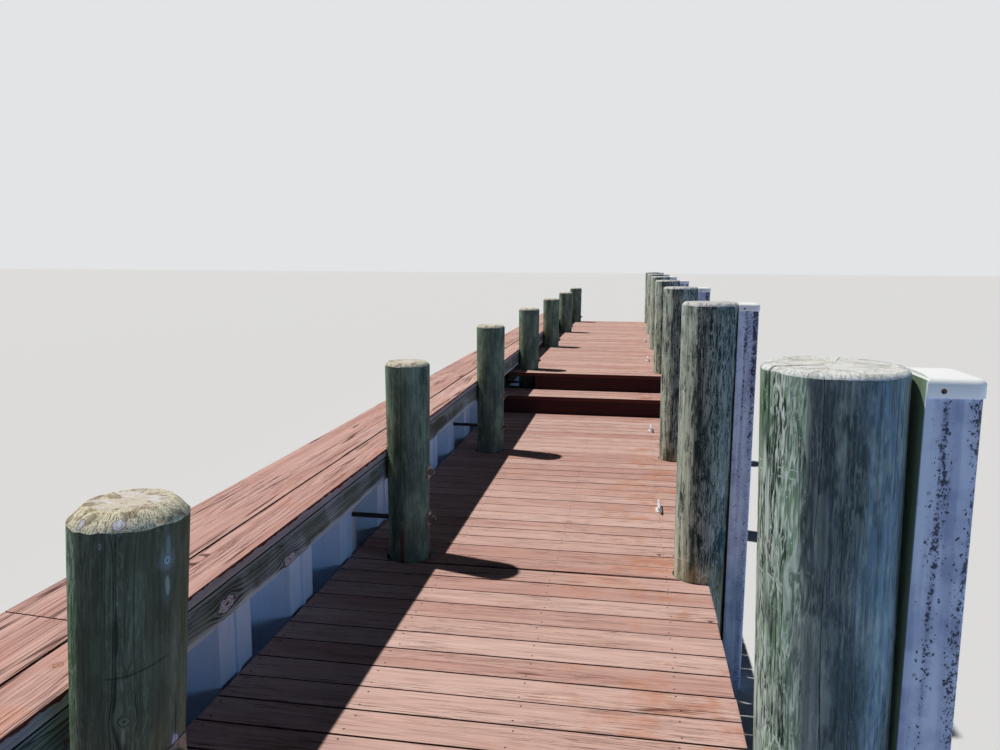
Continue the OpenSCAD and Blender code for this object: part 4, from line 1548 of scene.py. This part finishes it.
@dataclass
class Pile:
    """Round tapered pile with drying cracks and a bevelled, cracked top."""

    node: str
    size: PileSize
    foot_x: float
    middle_y: float
    bevel: float
    finish: Finish
    seed: int
    lean: float = 0.0
    segments: int = 96
    rows: int = 56
    rings: int = 9
    checks: tuple[Check, ...] = ()
    seaward_limit: float = 9.0
    wale_limit: float = -9.0
    washer_zs: tuple[float, ...] = ()
    top_rise: float = 0.0
    top_tilt: float = 0.0

    WASHER_HALF: ClassVar[float] = 0.037
    WASHER_SEAT: ClassVar[float] = 0.006
    CROWN: ClassVar[float] = 0.0015
    REACH: ClassVar[int] = 8

    def axis_x(self, height: float) -> float:
        """Position of the pile's axis at a height."""
        return self.foot_x + math.tan(math.radians(self.lean)) * height

    def column(self, check: Check) -> int:
        """Number of the column of corners that a crack runs down."""
        return round(math.radians(check.angle) / (2.0 * math.pi / self.segments)) % self.segments

    def open_at(self, check: Check, height: float) -> float:
        """Share from 0 to 1 to which a crack is open at a height."""
        foot = ramp_up(height, check.foot, check.foot + 0.16)
        return foot if check.top >= self.size.top_z else foot * ramp_up(check.top - height, 0.0, 0.1)

    def groove(self, column: int, height: float) -> float:
        """Depth of the cracks in a column at a height."""
        cracks = [check for check in self.checks if self.column(check) == column]
        return max((check.depth * self.open_at(check, height) for check in cracks), default=0.0)

    def tilt_at(self, angle: float, share: float) -> float:
        """Height that the slope of the top adds at a place on it."""
        return self.top_rise + self.top_tilt * math.sin(angle) * share * self.size.top_d / 2.0

    def angles(self, height: float) -> list[float]:
        """Angles of the columns of corners at a height, drawn towards the cracks.

        Args:
            height: Height of the row.

        Returns:
            One angle for each column.
        """
        step = 2.0 * math.pi / self.segments
        angles = [k * step for k in range(self.segments)]
        for number, check in enumerate(self.checks):
            column = self.column(check)
            wander = check.wander * noise.noise(Vector((height * 2.4, self.seed, number * 5.1)))
            shift = math.radians(check.angle) - column * step
            shift = (shift + math.pi) % (2.0 * math.pi) - math.pi + wander
            half = max(check.width * self.open_at(check, height), 0.0004) / self.size.radius(height)
            for k in range(1 - self.REACH, self.REACH):
                angles[(column + k) % self.segments] += shift * (1.0 - abs(k) / self.REACH)
            angles[(column - 1) % self.segments] = angles[column] - half
            angles[(column + 1) % self.segments] = angles[column] + half
        return angles

    def side_ring(
        self, shape: Shape, angles: list[float], heights: list[float], share: float, cut: float,
    ) -> Loop:
        """Adds one ring of the side or of the bevel.

        Args:
            shape: Shape that it joins.
            angles: Angle of each corner about the axis.
            heights: Height of each corner.
            share: Share of the full radius.
            cut: 1 on cut wood.

        Returns:
            The corners of the ring.
        """
        ring = []
        for column, (angle, height) in enumerate(zip(angles, heights)):
            way = Vector((math.cos(angle), math.sin(angle)))
            radius = self.size.radius(height) * share
            lumps = noise.noise(Vector((way.x * 1.2, way.y * 1.2, height * 1.5 + self.seed * 3.1)))
            ridges = noise.noise(Vector((way.x * 10.0, way.y * 10.0, height * 1.3 + self.seed * 7.7)))
            radius += 0.0016 * lumps + 0.0006 * ridges - self.groove(column, height)
            across = radius * way.x
            along = radius * way.y
            x = min(self.axis_x(height) + across, self.seaward_limit)
            if WALE_ZS[0] < height < WALE_ZS[1]:
                x = max(x, self.wale_limit)
            for middle in self.washer_zs:
                if max(abs(along), abs(height - middle)) < self.WASHER_HALF and across > 0.0:
                    x = min(x, self.axis_x(middle) + self.size.radius(middle) - self.WASHER_SEAT)
            grain = (height + self.seed * 9.7, across, along)
            tone = (self.seed * 0.37) % 1.0
            place = (x, self.middle_y + along, height)
            ring.append(shape.corner(place, grain, (height, across, along), tone, 0.0, cut))
        return ring

    def top_ring(self, shape: Shape, angles: list[float], share: float) -> Loop:
        """Adds one ring of the cut top.

        Args:
            shape: Shape that it joins.
            angles: Angle of each corner about the axis.
            share: Share of the full radius.

        Returns:
            The corners of the ring.
        """
        top_z = self.size.top_z
        reach = self.size.radius(top_z) * share
        ring = []
        for column, angle in enumerate(angles):
            way = Vector((math.cos(angle), math.sin(angle)))
            rough = 0.0010 * noise.noise(Vector((way.x * share * 60.0, way.y * share * 60.0, self.seed)))
            deep = min(0.010, self.groove(column, top_z - self.bevel)) * share ** 0.5
            height = top_z + self.CROWN * (1.0 - share) + rough - deep + self.tilt_at(angle, share)
            across = reach * way.x
            along = reach * way.y
            place = (min(self.axis_x(top_z) + across, self.seaward_limit), self.middle_y + along, height)
            ring.append(shape.corner(place, (top_z, across, along), (top_z, across, along), cut=1.0))
        return ring

    def build(self) -> None:
        """Builds the pile in place of its plain solid."""
        shape = Shape()
        top_z = self.size.top_z
        shaft = top_z - self.bevel
        loops = []
        for height in (shaft * k / self.rows for k in range(self.rows)):
            loops.append(self.side_ring(shape, self.angles(height), [height] * self.segments, 1.0, 0.0))
        angles = self.angles(shaft)
        ways = [Vector((math.cos(angle) * 3.0, math.sin(angle) * 3.0, self.seed)) for angle in angles]
        edge = [shaft + 0.22 * self.bevel * noise.noise(way) for way in ways]
        for drop, cut in ((0.004, 0.0), (0.0, 0.75)):
            heights = [level - drop + self.tilt_at(angle, 1.0) for level, angle in zip(edge, angles)]
            loops.append(self.side_ring(shape, angles, heights, 1.0, cut))
        full = self.size.radius(top_z)
        bevel_share = (full - self.bevel) / full
        for part in (0.5, 1.0):
            share = 1.0 + (bevel_share - 1.0) * part
            level = shaft + (top_z - shaft) * part ** 0.85
            heights = [level + self.tilt_at(angle, share) for angle in angles]
            loops.append(self.side_ring(shape, angles, heights, share, 1.0))
        for k in range(1, self.rings + 1):
            loops.append(self.top_ring(shape, angles, bevel_share * (1.0 - k / (self.rings + 1.0))))
        middle = (self.axis_x(top_z), self.middle_y, top_z + self.CROWN + self.top_rise)
        pith = (top_z, 0.0, 0.0)
        shape.skin(loops, shape.corner(middle, pith, pith, cut=1.0))
        shape.piece(self.node + "_timber", self.finish, self.node, 48.0)


@dataclass
class PileRows:
    """The two rows of piles."""

    landward_bevel: float = 0.017
    seaward_bevel: float = 0.014
    fine_bents: int = 3

    @staticmethod
    def random_checks(dice: random.Random, top: float, count: int) -> tuple[Check, ...]:
        """Cracks at random angles for a pile.

        Args:
            dice: Source of the random numbers.
            top: Height of the pile's top.
            count: Number of cracks.

        Returns:
            The cracks.
        """
        checks = []
        for k in range(count):
            angle = 360.0 * (k + dice.uniform(0.15, 0.85)) / count
            starts_low = dice.random() < 0.35
            high = top - dice.uniform(0.15, 0.6) if starts_low else top
            foot = max(0.1, high - dice.uniform(0.35, 1.3))
            width = dice.uniform(0.0008, 0.0018)
            checks.append(Check(angle, high, foot, width, dice.uniform(0.004, 0.009), 0.09))
        return tuple(checks)

    def build(self) -> None:
        """Builds every pile."""
        washer_zs = (TIE_ROD_Z, WALE_BOLT_Z)
        Pile(
            "landward_pile_1", FIRST_LANDWARD, -0.6164, bent_y(1), 0.032, FIRST_GREEN_PILE, 1, lean=4.1,
            segments=200, rows=120, rings=16, wale_limit=WALE_FACE_X, washer_zs=washer_zs,
            checks=FIRST_LANDWARD_CHECKS,
        ).build()
        Pile(
            "seaward_pile_1", FIRST_SEAWARD, 0.9596, bent_y(1), 0.007, FIRST_WEATHERED_PILE, 2, lean=-1.4,
            segments=210, rows=140, rings=16, seaward_limit=FENDER_FACE_X, top_rise=0.006, top_tilt=0.016,
            checks=FIRST_SEAWARD_CHECKS,
        ).build()
        for number in range(2, BENTS + 1):
            dice = random.Random(400 + number)
            near = number <= self.fine_bents
            Pile(
                f"landward_pile_{number}", LANDWARD, LANDWARD.x, bent_y(number), self.landward_bevel,
                SECOND_GREEN_PILE if number == 2 else GREEN_PILE, 10 + number, segments=112 if near else 84,
                rows=72 if near else 44, rings=10, wale_limit=WALE_FACE_X, washer_zs=washer_zs,
                checks=self.random_checks(dice, LANDWARD.top_z, 9),
            ).build()
            Pile(
                f"seaward_pile_{number}", SEAWARD, SEAWARD.x, bent_y(number), self.seaward_bevel,
                WEATHERED_PILE, 30 + number, segments=124 if near else 84, rows=80 if near else 44,
                rings=10, seaward_limit=FENDER_FACE_X, checks=self.random_checks(dice, SEAWARD.top_z, 11),
            ).build()


# Deck and steps


@dataclass
class Deck:
    """Boards of the two deck levels, the tread and the risers, with their nails."""

    pile_gap: float = 0.006
    least_gap: float = 0.0042
    most_gap: float = 0.0110
    end_gap: float = 0.0015
    joint_gap: float = 0.002
    nail_inset: float = 0.030

    NODES: ClassVar[tuple[str, ...]] = (
        "near_end_deck", "lower_deck_1", "lower_deck_2", "lower_deck_3", "step_tread", "step_landing",
        "upper_deck_4", "upper_deck_5", "upper_deck_6", "far_end_deck",
    )
    CLOSE: ClassVar[tuple[str, ...]] = ("near_end_deck", "step_tread", "step_landing")

    def discs_near(self, low: float, high: float, height: float) -> list[Triple]:
        """Places where boards are cut round piles.

        Args:
            low: Lowest position along the jetty.
            high: Highest position along the jetty.
            height: Height of the deck.

        Returns:
            Middle and radius of each cut.
        """
        discs = []
        for number in range(1, BENTS + 1):
            y = bent_y(number)
            if low - 0.2 < y < high + 0.2:
                for size in (FIRST_LANDWARD, FIRST_SEAWARD) if number == 1 else (LANDWARD, SEAWARD):
                    discs.append((size.x, y, size.radius(height) + self.pile_gap))
        return discs

    def lay(self, node: str, widths: list[float], seed: int) -> None:
        """Lays the boards of one length of deck.

        Args:
            node: Name of the plain slab that they stand for.
            widths: Widths of the boards with their gaps, from the near end.
            seed: Number from which the chance follows.
        """
        low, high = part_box(node)
        dice = random.Random(seed)
        discs = self.discs_near(low[1], high[1], high[2])
        spread = self.most_gap - self.least_gap
        gaps = [self.least_gap + spread * dice.random() ** 1.5 for _ in range(len(widths) + 1)]
        gaps[0] = self.end_gap if node in self.CLOSE else self.joint_gap
        gaps[-1] = self.end_gap
        shape = Shape()
        nails = FastenerHeads()
        y = low[1]
        for k, width in enumerate(widths):
            outlines = Board(
                Run.ACROSS, low[0] + dice.uniform(0.0, 0.002), high[0] + dice.uniform(-0.003, 0.003),
                y + gaps[k] / 2.0, y + width - gaps[k + 1] / 2.0, low[2], high[2], seed * 100 + k, discs,
            ).add_to(shape)
            for line in STRINGER_XS:
                for side in (-1.0, 1.0):
                    across = y + width / 2.0 + side * (width / 2.0 - self.nail_inset)
                    across += dice.uniform(-0.007, 0.007)
                    along = line + dice.uniform(-0.010, 0.010)
                    if any(within(inset(outline, 0.012), (along, across)) for outline in outlines):
                        nails.add((along, across, high[2] + 0.0001), UP)
            y += width
        shape.piece(node + "_boards", DECK, node)
        nails.shape.piece(node + "_nails", NAIL_STEEL)

    @staticmethod
    def widths_for(node: str) -> list[float]:
        """Widths of the boards of one length of deck.

        Args:
            node: Name of the plain slab.

        Returns:
            Equal widths as near to the pitch as they come, or whole boards and a ripped one.
        """
        low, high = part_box(node)
        length = high[1] - low[1]
        count = max(1, round(length / BOARD_PITCH))
        if abs(length / count / BOARD_PITCH - 1.0) < 0.16:
            return [length / count] * count
        whole = int(length / BOARD_PITCH)
        return [BOARD_PITCH] * whole + [length - whole * BOARD_PITCH]

    def build(self) -> None:
        """Lays every length of deck and sets the risers."""
        for number, node in enumerate(self.NODES):
            self.lay(node, self.widths_for(node), number + 1)
        for number, node in enumerate(("lower_riser", "upper_riser")):
            low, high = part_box(node)
            shape = Shape()
            ends = (low[0], high[0], low[1], high[1], low[2], high[2])
            Board(Run.ACROSS, *ends, 2000 + number, ease=0.001).add_to(shape)
            shape.piece(node + "_board", SHADED_RISER, node)


# Wall top


@dataclass
class WallTop:
    """Cap boards and wale on top of the sheet wall."""

    cap_butt: float = 0.320
    butt_gap: float = 0.004
    pile_gap: float = 0.003
    wale_step: float = 0.03
    wale_faces: int = 9

    def lengths(self, first: float) -> list[Point]:
        """Ends of timbers laid end to end along the jetty, with a gap at every joint.

        Args:
            first: Position of the first joint.

        Returns:
            Start and end of each timber.
        """
        cuts = []
        while first < FAR_END_Y - 0.001:
            cuts.append(first)
            first += 2.0 * BAY
        half = self.butt_gap / 2.0
        starts = [NEAR_END_Y] + [cut + half for cut in cuts]
        ends = [cut - half for cut in cuts] + [FAR_END_Y]
        return list(zip(starts, ends))

    def add_caps(self, node: str, first: float, seed: int, skew: float, discs: list[Triple]) -> None:
        """Builds one line of cap boards.

        Args:
            node: Name of the plain cap boards.
            first: Position of their first joint.
            seed: Number from which the chance follows.
            skew: How far the ends are out of square.
            discs: Middle and radius of each cut round a pile.
        """
        low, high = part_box(node)
        shape = Shape()
        for k, (start, end) in enumerate(self.lengths(first)):
            Board(
                Run.ALONG, start, end, low[0], high[0], low[2], high[2], seed + k, discs, 0.003, 0.0018,
                skew if start > NEAR_END_Y else 0.0, skew if end < FAR_END_Y else 0.0,
            ).add_to(shape)
        shape.piece(node + "_stained", CAP, node)

    def add_wale(self) -> None:
        """Builds the wale with its waney lower edge."""
        low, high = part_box("wale")
        shape = Shape()
        for start, end in self.lengths(bent_y(2)):
            count = round((end - start) / self.wale_step)
            places = [start + (end - start) * k / count for k in range(count + 1)]
            shape.skin([self.wale_section(shape, y, low, high) for y in places])
        shape.piece("wale_rough_sawn", WALE, "wale", 30.0)

    def wale_section(self, shape: Shape, y: float, low: Triple, high: Triple) -> Loop:
        """Adds one section of the wale.

        Args:
            shape: Shape that it joins.
            y: Position along the jetty.
            low: Lowest corner of the wale.
            high: Highest corner of the wale.

        Returns:
            The corners of the section.
        """
        wane = 0.029 + 0.013 * noise.noise(Vector((y * 1.9, 3.0, 0.0)))
        wane += 0.006 * noise.noise(Vector((y * 9.0, 5.0, 0.0)))
        ease = 0.006 + 0.002 * noise.noise(Vector((y * 5.0, 8.0, 0.0)))
        foot = low[2] + 1.25 * wane
        profile = [
            (low[0], low[2], 0.0),
            (high[0] - 1.3 * wane - 0.01, low[2], 0.4),
            (high[0] - 0.55 * wane, low[2] + 0.28 * wane, 1.0),
            (high[0] - 0.15 * wane, low[2] + 0.7 * wane, 1.0),
            (high[0], foot, 0.7),
        ]
        for k in range(1, self.wale_faces):
            share = k / self.wale_faces
            height = foot + share * (high[2] - 0.012 - ease - foot)
            rough = 0.0008 * noise.noise(Vector((y * 14.0, height * 40.0, 1.0)))
            profile.append((high[0] + rough - 0.0004, height, max(0.0, 0.7 - 6.0 * share)))
        # The last corners form a cut step at the top, a recess under the cap whose near-black colour is
        # painted shade.
        profile += [
            (high[0], high[2] - 0.010 - ease, 0.3),
            (high[0] - 0.4 * ease, high[2] - 0.010, 1.5),
            (high[0] - 0.016, high[2] - 0.009, 2.0),
            (high[0] - 0.016, high[2], 2.0),
            (low[0], high[2], 0.0),
        ]
        ring = []
        for x, z, edge in profile:
            # cut marks that top step, which the wale's finish paints near black as painted shade.
            cut = 1.0 if edge > 1.2 else 0.0
            worn = min(edge, 1.0) * (1.0 - cut)
            ring.append(shape.corner((x, y, z), (y, x, z), (y, x, z), 0.5, worn, cut))
        return ring

    def build(self) -> None:
        """Builds both lines of cap boards and the wale."""
        reach = LANDWARD.radius(CAP_TOP_Z) + self.pile_gap
        discs = [(bent_y(number), LANDWARD.x, reach) for number in range(2, BENTS + 1)]
        self.add_caps("outer_cap_boards", bent_y(1) + self.cap_butt, 3000, 0.012, [])
        self.add_caps("inner_cap_boards", bent_y(2) + self.cap_butt, 3100, 0.004, discs)
        self.add_wale()


# Fenders, wall and ironwork


def dress(node: str, finish: Finish) -> None:
    """Gives a kept node its finish.

    Args:
        node: Name of the node.
        finish: The finish.
    """
    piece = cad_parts[node]
    if not piece.material_slots:
        piece.data.materials.append(finish.material())
    for holder in piece.material_slots:
        holder.material = finish.material()
    LOG.info("%s wears %s", node, finish.title)


@dataclass
class Fenders:
    """Fender posts outside the seaward piles, with covers, caps and screws."""

    cap_low: float = 1.899
    cap_top: float = 1.932
    crown: float = 0.003
    corner_radius: float = 0.019
    seaward_x: float = 1.1431
    half_width: float = 0.0785
    cover_half: float = 0.0745
    steps: int = 8

    SCREWS: ClassVar[tuple[Point, ...]] = (
        (1.823, 0.024), (1.733, 0.017), (1.62, 0.020), (1.40, 0.018), (0.95, 0.02), (0.50, 0.02),
    )

    def outline(self, shrink: float) -> list[Point]:
        """Outline of a cap, with rounded seaward corners.

        Args:
            shrink: Distance to stay inside the full outline.

        Returns:
            Corners as distances seaward and along from the middle of the post.
        """
        half = self.half_width - shrink
        left = FENDER_FACE_X + min(shrink, 0.004)
        right = self.seaward_x - shrink
        radius = max(self.corner_radius - 0.6 * shrink, 0.006)
        corners = [(left, half - 2.0 * half * k / self.steps) for k in range(self.steps + 1)]
        for side, first in ((-1, -90.0), (1, 0.0)):
            for k in range(self.steps + 1):
                angle = math.radians(first + 90.0 * k / self.steps)
                x = right - radius + radius * math.cos(angle)
                corners.append((x, side * (half - radius) + radius * math.sin(angle)))
        return corners

    def add_cap(self, shape: Shape, middle_y: float) -> None:
        """Adds one cap: a skirt, a rounded edge and a crowned lid.

        Args:
            shape: Shape that it joins.
            middle_y: Position of the post along the jetty.
        """
        low = self.cap_low
        top = self.cap_top
        levels = (
            (0.004, low + 0.001), (0.004, low), (0.0008, low), (0.0, low + 0.001), (0.0, top - 0.009),
            (0.0010, top - 0.0055), (0.0035, top - 0.0022), (0.0080, top - 0.0002), (0.016, top + 0.0010),
            (0.028, top + 0.7 * self.crown), (0.045, top + self.crown),
        )
        rings = []
        for shrink, height in levels:
            outline = self.outline(shrink)
            rings.append([shape.corner((x, middle_y + along, height)) for x, along in outline])
        shape.skin(rings)

    def build(self) -> None:
        """Builds the caps and screws, and dresses the posts and covers."""
        shape = Shape()
        screws = FastenerHeads(radius=0.0048, sides=12, rise=0.0010)
        cover_screws = FastenerHeads(radius=0.0040, sides=12, rise=0.0008)
        for y in (bent_y(number) for number in range(1, BENTS + 1)):
            self.add_cap(shape, y)
            for side in (-1.0, 1.0):
                spot = (FENDER_FACE_X + 0.026, y + side * self.half_width, self.cap_low + 0.012)
                screws.add(spot, (0.0, side, 0.0))
                for height, past in self.SCREWS:
                    spot = (FENDER_FACE_X + past, y + side * self.cover_half, height)
                    cover_screws.add(spot, (0.0, side, 0.0))
        shape.piece("fender_caps_moulded", CAP_PLASTIC, "fender_caps", 50.0)
        screws.shape.piece("fender_cap_screws", NAIL_STEEL)
        cover_screws.shape.piece("fender_cover_screws", PAINTED_STEEL)
        dress("fender_timbers", FENDER_TIMBER)
        dress("fender_covers", COVER_VINYL)


@dataclass
class Cleats:
    """Galvanised mooring cleats on the seaward side of the deck."""

    x: float = STRINGER_XS[-1]
    past_bent: float = 1.040
    half: float = 0.1015
    bar: float = 0.010
    height: float = 0.050
    base_radius: float = 0.0196
    base_stretch: float = 0.0338
    base_sides: int = 36
    bar_steps: int = 24
    sides: int = 14

    def build(self) -> None:
        """Builds every cleat in place of the plain ones."""
        shape = Shape()
        for number in range(2, BENTS):
            deck = LOWER_DECK_Z if number < STEP_BENT else UPPER_DECK_Z
            self.add_cleat(shape, bent_y(number) + self.past_bent, deck)
        shape.piece("mooring_cleats_cast", GALVANISED, "mooring_cleats", 60.0)

    def add_cleat(self, shape: Shape, y: float, deck: float) -> None:
        """Adds one cleat: a bar, two stems and a base.

        Args:
            shape: Shape that it joins.
            y: Position along the jetty.
            deck: Height of the deck.
        """
        sections = []
        for k in range(self.bar_steps + 1):
            share = -1.0 + 2.0 * k / self.bar_steps
            out = abs(share)
            thick = self.bar * (1.0 - 0.45 * out ** 1.6) * math.sqrt(max(0.0, 1.0 - out ** 14)) + 0.0004
            height = deck + self.height - self.bar - 0.004 + 0.007 * out ** 1.5
            place = Vector((self.x, y + share * self.half, height))
            sections.append((place, thick, thick * 0.86))
        self.loft(shape, sections, Vector((0.0, 1.0, 0.0)))
        for side in (-1.0, 1.0):
            sections = []
            for share in (k / 8.0 for k in range(9)):
                wide = 0.0125 - 0.0055 * math.sin(share * math.pi * 0.62)
                place = Vector((self.x, y + side * (0.037 - 0.006 * share), deck + 0.005 + share * 0.030))
                sections.append((place, wide, wide))
            self.loft(shape, sections, Vector(UP))
        rings = []
        for shrink, height in ((0.0, 0.0), (0.0, 0.0045), (0.0012, 0.0062), (0.004, 0.007)):
            reach = self.base_radius - shrink
            ring = []
            for right, past in circle(self.base_sides):
                stretch = self.base_stretch if past > 0.0 else -self.base_stretch
                place = (self.x + reach * right, y + stretch + reach * past, deck + height)
                ring.append(shape.corner(place))
            rings.append(ring)
        shape.skin(rings)

    def loft(self, shape: Shape, sections: list[tuple[Vector, float, float]], way: Vector) -> None:
        """Joins oval sections into a closed form.

        Args:
            shape: Shape that it joins.
            sections: Middle, half width and half height of each.
            way: Direction in which the sections follow each other.
        """
        across = Vector((1.0, 0.0, 0.0))
        up = way.cross(across)
        rings = []
        for middle, wide, high in sections:
            spots = [middle + across * (wide * x) + up * (high * y) for x, y in circle(self.sides)]
            rings.append([shape.corner(spot) for spot in spots])
        shape.skin(rings)


@dataclass
class KeptNodes:
    """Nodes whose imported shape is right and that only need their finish."""

    beams: tuple[str, ...] = ("lower_crossbeams", "upper_crossbeams")
    stringers: tuple[str, ...] = ("lower_stringers", "upper_stringers", "step_bearers")
    steel: tuple[str, ...] = ("tie_rod_washers", "tie_rod_nuts", "wale_bolts", "crossbeam_bolts")
    sheets: tuple[str, ...] = tuple(f"sheet_piling_{number}" for number in range(1, 7))

    def build(self) -> None:
        """Dresses the frame, the sheet wall and the ironwork."""
        for nodes, finish in (
            (self.beams, BEAM_TIMBER), (self.stringers, STRINGER_TIMBER), (self.steel, RUSTY_STEEL),
            (self.sheets, SHEET_VINYL), (("tie_rods",), BLACK_IRON),
        ):
            for node in nodes:
                dress(node, finish)


# Studio


@dataclass
class Studio:
    """Floor, lights and camera."""

    floor_half: float = 150.0
    light_way: Triple = (0.4322, -0.1127, -0.8948)
    light_power: float = 3.25
    light_angle: float = 1.2
    light_colour: Triple = (1.0, 0.975, 0.94)
    side_way: Triple = (-0.92, 0.38, -0.03)
    side_power: float = 0.70
    side_angle: float = 26.0
    side_colour: Triple = (0.30, 0.58, 1.0)
    fill: Colour = (0.002, 0.003, 0.008, 1.0)
    backdrop: Colour = (0.765, 0.775, 0.785, 1.0)
    camera_place: Triple = (0.5529, -8.7368, 2.122)
    camera_right: Triple = (0.986177, 0.165610, 0.005246)
    camera_up: Triple = (-0.028594, 0.138915, 0.989891)
    focal_pixels: float = 790.0
    image_width: float = 1000.0

    def build(self) -> None:
        """Lays the floor, hangs the lights and sets the camera."""
        self.add_floor()
        self.add_lights()
        self.add_camera()
        bpy.context.scene.view_settings.view_transform = "Standard"

    def add_floor(self) -> None:
        """Lays a plain pale floor at the level of the feet of the piles."""
        mesh = bpy.data.meshes.new("studio_floor")
        half = self.floor_half
        corners = [(-half, -half, 0.0), (half, -half, 0.0), (half, half, 0.0), (-half, half, 0.0)]
        mesh.from_pydata(corners, [], [(0, 1, 2, 3)])
        mesh.materials.append(FLOOR.material())
        floor = bpy.data.objects.new("studio_floor", mesh)
        bpy.context.scene.collection.objects.link(floor)

    def add_lights(self) -> None:
        """Adds a key light from the shore, a soft one from the water and an even fill from the world."""
        for name, way, power, angle, colour in (
            ("key_light", self.light_way, self.light_power, self.light_angle, self.light_colour),
            ("side_light", self.side_way, self.side_power, self.side_angle, self.side_colour),
        ):
            lamp = bpy.data.lights.new(name, "SUN")
            lamp.energy = power
            lamp.angle = math.radians(angle)
            lamp.color = colour
            light = bpy.data.objects.new(name, lamp)
            light.rotation_euler = Vector(way).to_track_quat("-Z", "Y").to_euler()
            light.location = Vector(way) * -14.0
            bpy.context.scene.collection.objects.link(light)
        world = bpy.data.worlds.new("studio_world")
        bpy.context.scene.world = world
        world.use_nodes = True
        w = Wiring(world.node_tree)
        background = world.node_tree.nodes["Background"]
        w.plug(background.inputs["Color"], w.mix(w.seen(), self.fill, self.backdrop))
        background.inputs["Strength"].default_value = 1.0

    def add_camera(self) -> None:
        """Sets the camera at the photograph's viewing angle."""
        lens = bpy.data.cameras.new("camera")
        lens.sensor_width = 36.0
        lens.lens = self.focal_pixels / self.image_width * lens.sensor_width
        lens.clip_end = 500.0
        camera = bpy.data.objects.new("camera", lens)
        right = Vector(self.camera_right)
        up = Vector(self.camera_up)
        turn = Matrix((right, up, right.cross(up))).transposed()
        camera.matrix_world = Matrix.Translation(self.camera_place) @ turn.to_4x4()
        bpy.context.scene.collection.objects.link(camera)
        bpy.context.scene.camera = camera


def main() -> None:
    """Builds the studio and every part of the jetty in order."""
    logging.basicConfig(level=logging.INFO, format="%(name)s: %(message)s")
    for part in (Studio(), Deck(), PileRows(), WallTop(), Fenders(), Cleats(), KeptNodes()):
        part.build()


if __name__ == "__main__":
    main()
